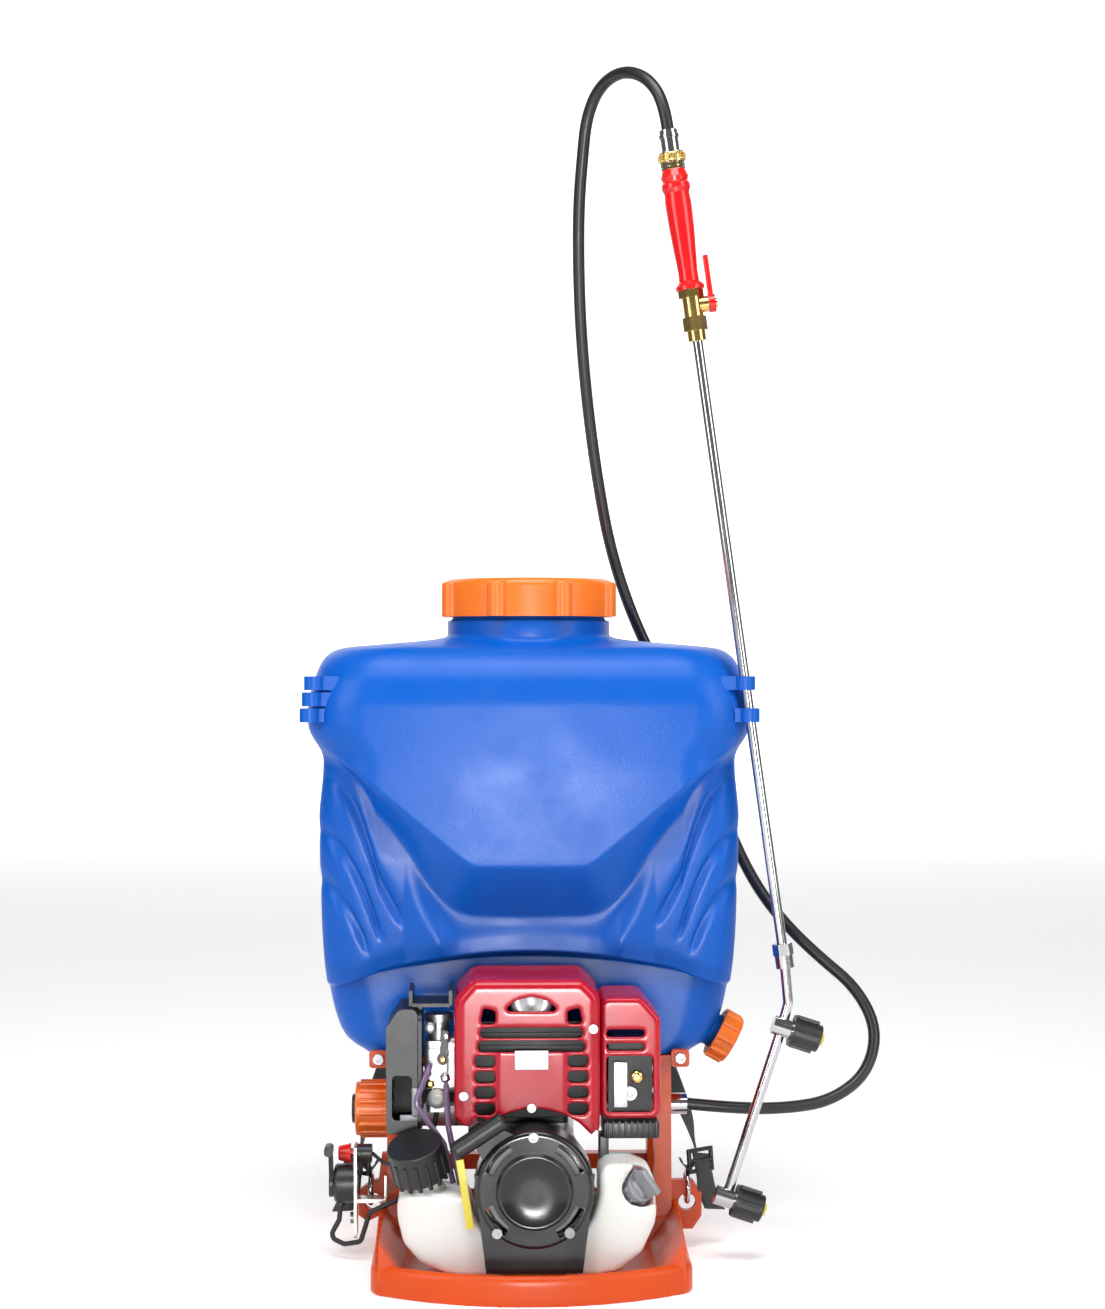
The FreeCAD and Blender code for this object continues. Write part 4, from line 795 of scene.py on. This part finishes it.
shroud.append(soft_block("shroud_leg", (58, -146, 97), (66, -120, 122), 1.0, BLACK_PLASTIC))
ride_as(join(*shroud), MACHINE, "black_plastic")
latch = join(soft_block("filter_latch", (-111, -150, 136), (-96, -146.6, 141), 0.6, GREY_PLASTIC),
             soft_block("filter_latch_post", (-101, -150, 139), (-96, -146.6, 164), 0.6, GREY_PLASTIC))
ride_as(latch, "filter_cover_body", "grey_plastic")
badge = turned("badge_ring", (2, -204.6, 87), (2, -206.6, 87),
               [(0, 31), (0.6, 31), (1, 30), (1, 28), (0.55, 27), (0.5, 10), (0.5, 4)], BLACK_GLOSS, 96)
ride_as(badge, MACHINE, "black_plastic", "starter_badge")
bolt = turned("muffler_bolt", (90, -142, 172), (90, -149, 172), [(0, 6.0), (0.7, 6.0), (1, 5), (1, 2)],
              BRASS, 6)
ride_as(bolt, MACHINE, "brass_metal")
cap_disc = turned("filter_cap_disc", (-154, -15, 122), (-159, -15, 122), [(0, 13.2), (0.8, 13.2), (1, 12.2)],
                  BLACK_PLASTIC)
ride_as(cap_disc, "filter_cap_body", "black_plastic")
fittings = [((-86, -128, 164), (-86, -132.8, 164), 4.2, BRASS),
            ((-75, -136.3, 186), (-75, -139.5, 186), 3.0, BRASS),
            ((-73, -131, 170), (-73, -139, 170), 4.5, CHROME),
            ((-88, -131, 174), (-88, -137, 174), 3.4, CHROME),
            ((-72, -128, 205), (-72, -137, 205), 3.6, CHROME),
            ((-86, -126, 212), (-86, -132.8, 212), 5.2, ALLOY)]
for index, (start, end, radius, metal) in enumerate(fittings):
    nut = turned(f"carburettor_nut_{index}", start, end,
                 [(0, radius), (0.8, radius), (1, radius * 0.8), (1, 1)],
                 metal, 6 if index % 2 == 0 else 20)
    ride_as(nut, MACHINE, "bright_steel")
OIL_FROM, OIL_TO = Vector((34, -112, 48)) * MM, Vector((84, -171, 82)) * MM
oil_axis = (OIL_TO - OIL_FROM).normalized()
across = oil_axis.cross(Vector((0, -1, 0))).normalized()
frame_of_cap = Matrix((across, across.cross(oil_axis) * -1, oil_axis)).transposed().to_4x4()
handle = join(soft_block("oil_handle", (-12, -3, 11), (12, 3, 27), 1.6, GREY_PLASTIC),
              soft_block("oil_handle_foot", (-8, -8, 8), (8, 8, 15), 2.0, GREY_PLASTIC))
handle.data.transform(Matrix.Translation(OIL_TO) @ frame_of_cap)
ride_as(handle, "oil_cap_body", "grey_plastic")
print("engine trim done")

# %% Starter cord
cord_rings = []
for y in (-198.0, -200.5, -201.0, -204.0, -207.0, -209.0, -212.0):
    cord_rings.append(np.array(circle_line((-44, y, 136), (0, 1, 0), 1.8, 12)) * MM)
starter_cord = closed_rings("starter_cord", cord_rings, RUBBER)
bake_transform(starter_cord)

# %% [markdown]
# ## Harness
# A padded strap is woven cloth over foam: full in the middle, pinched at its sewn edge. Each strap follows a
# few stations between the tank's lugs and the frame's ears, joined by one smooth line. The pads are real
# cushions: each cover is turned into even voxels and blown up by a short cloth simulation, which pulls the
# sides in between the corners. Seams come after that, because the voxels would erase them. The webbing
# below is thin and flat, so it is modelled directly.

# %% Woven cloth
def woven(name, colour, second, thread):
    """A plain weave: two crossed waves in Object coordinates, as colour and as bump."""
    material = bpy.data.materials.new(name)
    material.use_nodes = True
    tree = material.node_tree
    shader = tree.nodes["Principled BSDF"]
    coords = add(tree, "ShaderNodeTexCoord").outputs["Object"]
    waves = []
    for direction in ("X", "Z"):
        wave = add(tree, "ShaderNodeTexWave", bands_direction=direction)
        wave.inputs["Scale"].default_value = thread
        wave.inputs["Distortion"].default_value = 0.6
        tree.links.new(coords, wave.inputs["Vector"])
        waves.append(wave.outputs["Fac"])
    weave = add(tree, "ShaderNodeMath", operation="MAXIMUM")
    tree.links.new(waves[0], weave.inputs[0])
    tree.links.new(waves[1], weave.inputs[1])
    tree.links.new(blend_tones(tree, weave.outputs[0], second, colour), shader.inputs["Base Color"])
    soft = noise(tree, coords, 30.0)
    tree.links.new(remap(tree, soft, 0.75, 0.95), shader.inputs["Roughness"])
    tree.links.new(bump(tree, weave.outputs[0], 0.6, 0.0008), shader.inputs["Normal"])
    shader.inputs["Sheen Weight"].default_value = 0.25
    shader.inputs["Sheen Roughness"].default_value = 0.5
    return material


PAD_CLOTH = woven("pad_cloth", (0.018, 0.018, 0.020), (0.006, 0.006, 0.007), 260.0)
WEBBING = woven("webbing", (0.012, 0.012, 0.012), (0.004, 0.004, 0.004), 330.0)
THREAD = finish("thread", (0.30, 0.30, 0.30), (0.22, 0.22, 0.22), 0.7, 400.0, 0.2)


# %% A band through stations
def smooth_stations(stations, per_span):
    """Catmull-Rom through stations of (centre, half width, normal)."""
    table = np.array([np.concatenate(row) for row in stations], dtype=float)
    padded = np.vstack([2 * table[0] - table[1], table, 2 * table[-1] - table[-2]])
    out = []
    for index in range(len(table) - 1):
        a, b, c, d = padded[index:index + 4]
        for step in range(per_span):
            t = step / per_span
            out.append(0.5 * (2 * b + (c - a) * t + (2 * a - 5 * b + 4 * c - d) * t * t
                              + (3 * b - a - 3 * c + d) * t ** 3))
    out.append(table[-1])
    return np.array(out)


def band(name, stations, thick, material, crown, per_span=8, sides=28):
    """A strap: each ring is a flat loop, crowned in the middle and pinched at its edges."""
    rings = []
    for row in smooth_stations(stations, per_span):
        centre, half, lift = row[:3], row[3:6], row[6:9]
        lift = lift / np.linalg.norm(lift)
        ring = []
        for step in range(sides):
            angle = 2 * math.pi * step / sides
            across = math.cos(angle)
            across = math.copysign(abs(across) ** 0.75, across)
            height = math.copysign(abs(math.sin(angle)) ** 0.6, math.sin(angle))
            swell = 1.0 - crown * abs(across) ** 4
            ring.append(centre + half * across + lift * (thick / 2) * height * swell)
        rings.append(np.array(ring) * MM)
    return closed_rings(name, rings, material)


# %% Cloth tools
def inflate(piece, cap, frames=20):
    """Blows a closed cover up a little with cloth physics, then keeps only the shape."""
    scene = bpy.context.scene
    before = np.empty(len(piece.data.vertices) * 3)
    piece.data.vertices.foreach_get("co", before)
    cloth = piece.modifiers.new("cloth", "CLOTH")
    cloth.settings.use_pressure = True
    cloth.settings.uniform_pressure_force = 4.0
    cloth.settings.effector_weights.gravity = 0.0
    cloth.settings.quality = 6
    for frame_number in range(1, frames + 1):
        scene.frame_set(frame_number)
    depsgraph = bpy.context.evaluated_depsgraph_get()
    blown = bpy.data.meshes.new_from_object(piece.evaluated_get(depsgraph))
    after = np.empty(len(blown.vertices) * 3)
    blown.vertices.foreach_get("co", after)
    move = (after - before).reshape(-1, 3)
    length = np.maximum(np.linalg.norm(move, axis=1), 1e-9)[:, None]
    move *= np.minimum(1.0, cap / length)
    piece.modifiers.clear()
    piece.data.vertices.foreach_set("co", (before.reshape(-1, 3) + move).ravel())
    bpy.data.meshes.remove(blown)
    scene.frame_set(1)


def even_mesh(piece, voxel):
    """A new mesh of even voxels over the same form, ready for cloth."""
    grid = piece.modifiers.new("grid", "REMESH")
    grid.mode = "VOXEL"
    grid.voxel_size = voxel
    even = bpy.data.meshes.new_from_object(piece.evaluated_get(bpy.context.evaluated_depsgraph_get()))
    piece.modifiers.clear()
    piece.data = even
    even.materials.clear()
    even.materials.append(PAD_CLOTH)


def sew_edges(piece, middle, edge, deep):
    """Pulls a padded strap in along both of its sewn edges."""
    centre, half, lift = middle[:, :3] * MM, middle[:, 3:6] * MM, middle[:, 6:9]
    lift = lift / np.linalg.norm(lift, axis=1)[:, None]
    for vert in piece.data.vertices:
        place = np.array(vert.co)
        near = int(np.argmin(((centre - place) ** 2).sum(axis=1)))
        across = abs(float((place - centre[near]) @ half[near] / (half[near] @ half[near])))
        height = float((place - centre[near]) @ lift[near])
        pull = deep * math.exp(-((across - edge) / 0.07) ** 2)
        vert.co = Vector(place - lift[near] * height * pull)


# %% Straps, webbing and buckles
ANCHOR_Z = 175.0 + 0.79 * 371.0
SIDES = {"left": -1, "right": 1}
for label_side, side in SIDES.items():
    def at(x, y, z):
        return (side * x, y, z)
    broad = [(at(62, 134, ANCHOR_Z + 6), at(28, 0, 0), (0, 0.3, 1)),
             (at(64, 172, ANCHOR_Z + 3), at(28, 0, 0), (0, 0.5, 0.9)),
             (at(68, 204, ANCHOR_Z - 22), at(28, 0, 0), (0, 0.9, 0.4)),
             (at(74, 221, ANCHOR_Z - 80), at(27, 0, 0), (0, 1, 0)),
             (at(80, 221, ANCHOR_Z - 150), at(25, 3, 0), (0, 1, -0.15)),
             (at(88, 208, ANCHOR_Z - 208), at(19, 5, 0), (0, 1, -0.3))]
    strap = band("shoulder_pad_" + label_side, broad, 11.0, PAD_CLOTH, 0.45)
    even_mesh(strap, 0.004)
    inflate(strap, 0.005)
    middle = smooth_stations(broad, 24)
    sew_edges(strap, middle, 0.78, 0.45)
    strap.data.polygons.foreach_set("use_smooth", [True] * len(strap.data.polygons))
    finer = strap.modifiers.new("finer", "SUBSURF")
    finer.levels = 1
    finer.render_levels = 1
    strap_tree = BVHTree.FromPolygons([v.co.copy() for v in strap.data.vertices],
                                      [tuple(face.vertices) for face in strap.data.polygons])
    ride_as(strap, MACHINE, "strap_fabric", "shoulder_straps")
    webbing = [(at(86, 211, ANCHOR_Z - 196), at(12, 3, 0), (0, 1, -0.3)),
               (at(104, 186, 200), at(12, 3, 0), (0, 1, -0.5)),
               (at(132, 136, 140), at(10, 5, 0), (0.2 * side, 1, -1)),
               (at(150, 76, 98), at(6, 10, 0), (0.9 * side, 1, -1)),
               (at(153, 16, 80), at(0, 12, 2), (side, 0, 0)),
               (at(151.5, -22, 78), at(0, 12, 3), (side, 0, 0))]
    facing = (side * 7, -9, 0.5)
    tail = [(at(153.5, -33, 84), at(8, 7, -2), facing), (at(157, -36, 66), at(8, 7, -1), facing),
            (at(160, -35, 50), at(9, 7, -1), facing), (at(167, -31, 33), at(10, 7, -2), facing)]
    loop = [(at(148.5, -36, 76), at(0, 11, 0), (side, 0, 0.4)), (at(141, -38, 71.8), at(0, 11, 0), (0, 0, 1)),
            (at(135.5, -38, 79), at(0, 11, 0), (-side, 0, 0))]
    hanger = [(at(62, 112.4, ANCHOR_Z - 10), at(12, 0, 0), (0, 1, 0)),
              (at(62, 112.6, ANCHOR_Z + 8), at(12, 0, 0), (0, 1, 0.2)),
              (at(62, 120, ANCHOR_Z + 14), at(12, 0, 0), (0, 0.3, 1)),
              (at(62, 137, ANCHOR_Z + 12), at(12, 0, 0), (0, 0, 1))]
    lock = [soft_block("lock_side", (-15, -2, -11), (-11.5, 2, 11), 1.2, BLACK_PLASTIC),
            soft_block("lock_side", (11.5, -2, -11), (15, 2, 11), 1.2, BLACK_PLASTIC)]
    for height in (-9.2, 0.0, 9.2):
        lock.append(soft_block("lock_bar", (-14, -2.2, height - 1.8), (14, 2.2, height + 1.8), 1.2,
                               BLACK_PLASTIC))
    lock = join(*lock)
    lock.name = "ladder_lock_" + label_side
    lock.data.transform(Matrix.Translation((side * 0.1535, -0.0345, 0.078))
                        @ Matrix.Rotation(math.radians(side * 38), 4, "Z")
                        @ Matrix.Rotation(math.radians(-6), 4, "X"))
    if side == 1:
        ride_as(lock, MACHINE, "black_plastic", "strap_buckles")
    else:
        ride_as(lock, MACHINE, "black_plastic")
    for part_name, stations in (("webbing", webbing), ("tail", tail), ("loop", loop), ("hanger", hanger)):
        flat = band(part_name + "_" + label_side, stations, 2.4, WEBBING, 0.3, 8, 16)
        ride_as(flat, MACHINE, "strap_fabric")
    rows_of_thread = []
    for edge in (-0.78, 0.78):
        line = []
        for row in middle[6:-6:3]:
            lift = Vector(row[6:9]).normalized()
            start = Vector((row[:3] + row[3:6] * edge) * MM) + lift * 0.030
            hit = strap_tree.ray_cast(start, -lift, 0.060)[0]
            if hit is not None:
                line.append(np.array(hit / MM))
        rows_of_thread.append(row_of("stitch", line, 96, (0.9, 0.9, 3.0), THREAD))
    stitches = join(*rows_of_thread)
    stitches.name = "strap_stitches_" + label_side
    ride_as(stitches, MACHINE, "strap_fabric")
print("harness straps done")


# %% Back pad, inflated
pad_low, pad_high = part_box("back_pad")
pad = soft_block("back_cushion", [value / MM + 3 for value in pad_low],
                 [value / MM - 3 for value in pad_high], 6.0,
                 PAD_CLOTH, 4)
even_mesh(pad, 0.005)
inflate(pad, 0.006)
seam_work = bmesh.new()
seam_work.from_mesh(pad.data)
back_face = pad_high[1]
for vert in seam_work.verts:
    for channel in (-0.034, 0.034):
        near = math.exp(-((vert.co.x - channel) / 0.0045) ** 2)
        if vert.co.y > (pad_low[1] + pad_high[1]) / 2:
            vert.co.y -= 0.006 * near
    vert.co.y = min(vert.co.y, back_face + 0.002)
    vert.co.y = max(vert.co.y, pad_low[1] - 0.0005)
seam_work.to_mesh(pad.data)
seam_work.free()
pad.data.polygons.foreach_set("use_smooth", [True] * len(pad.data.polygons))
finer = pad.modifiers.new("finer", "SUBSURF")
finer.levels = 1
finer.render_levels = 1
ride_as(pad, MACHINE, "pad_fabric", "back_pad")
print("cushion points", len(pad.data.vertices))
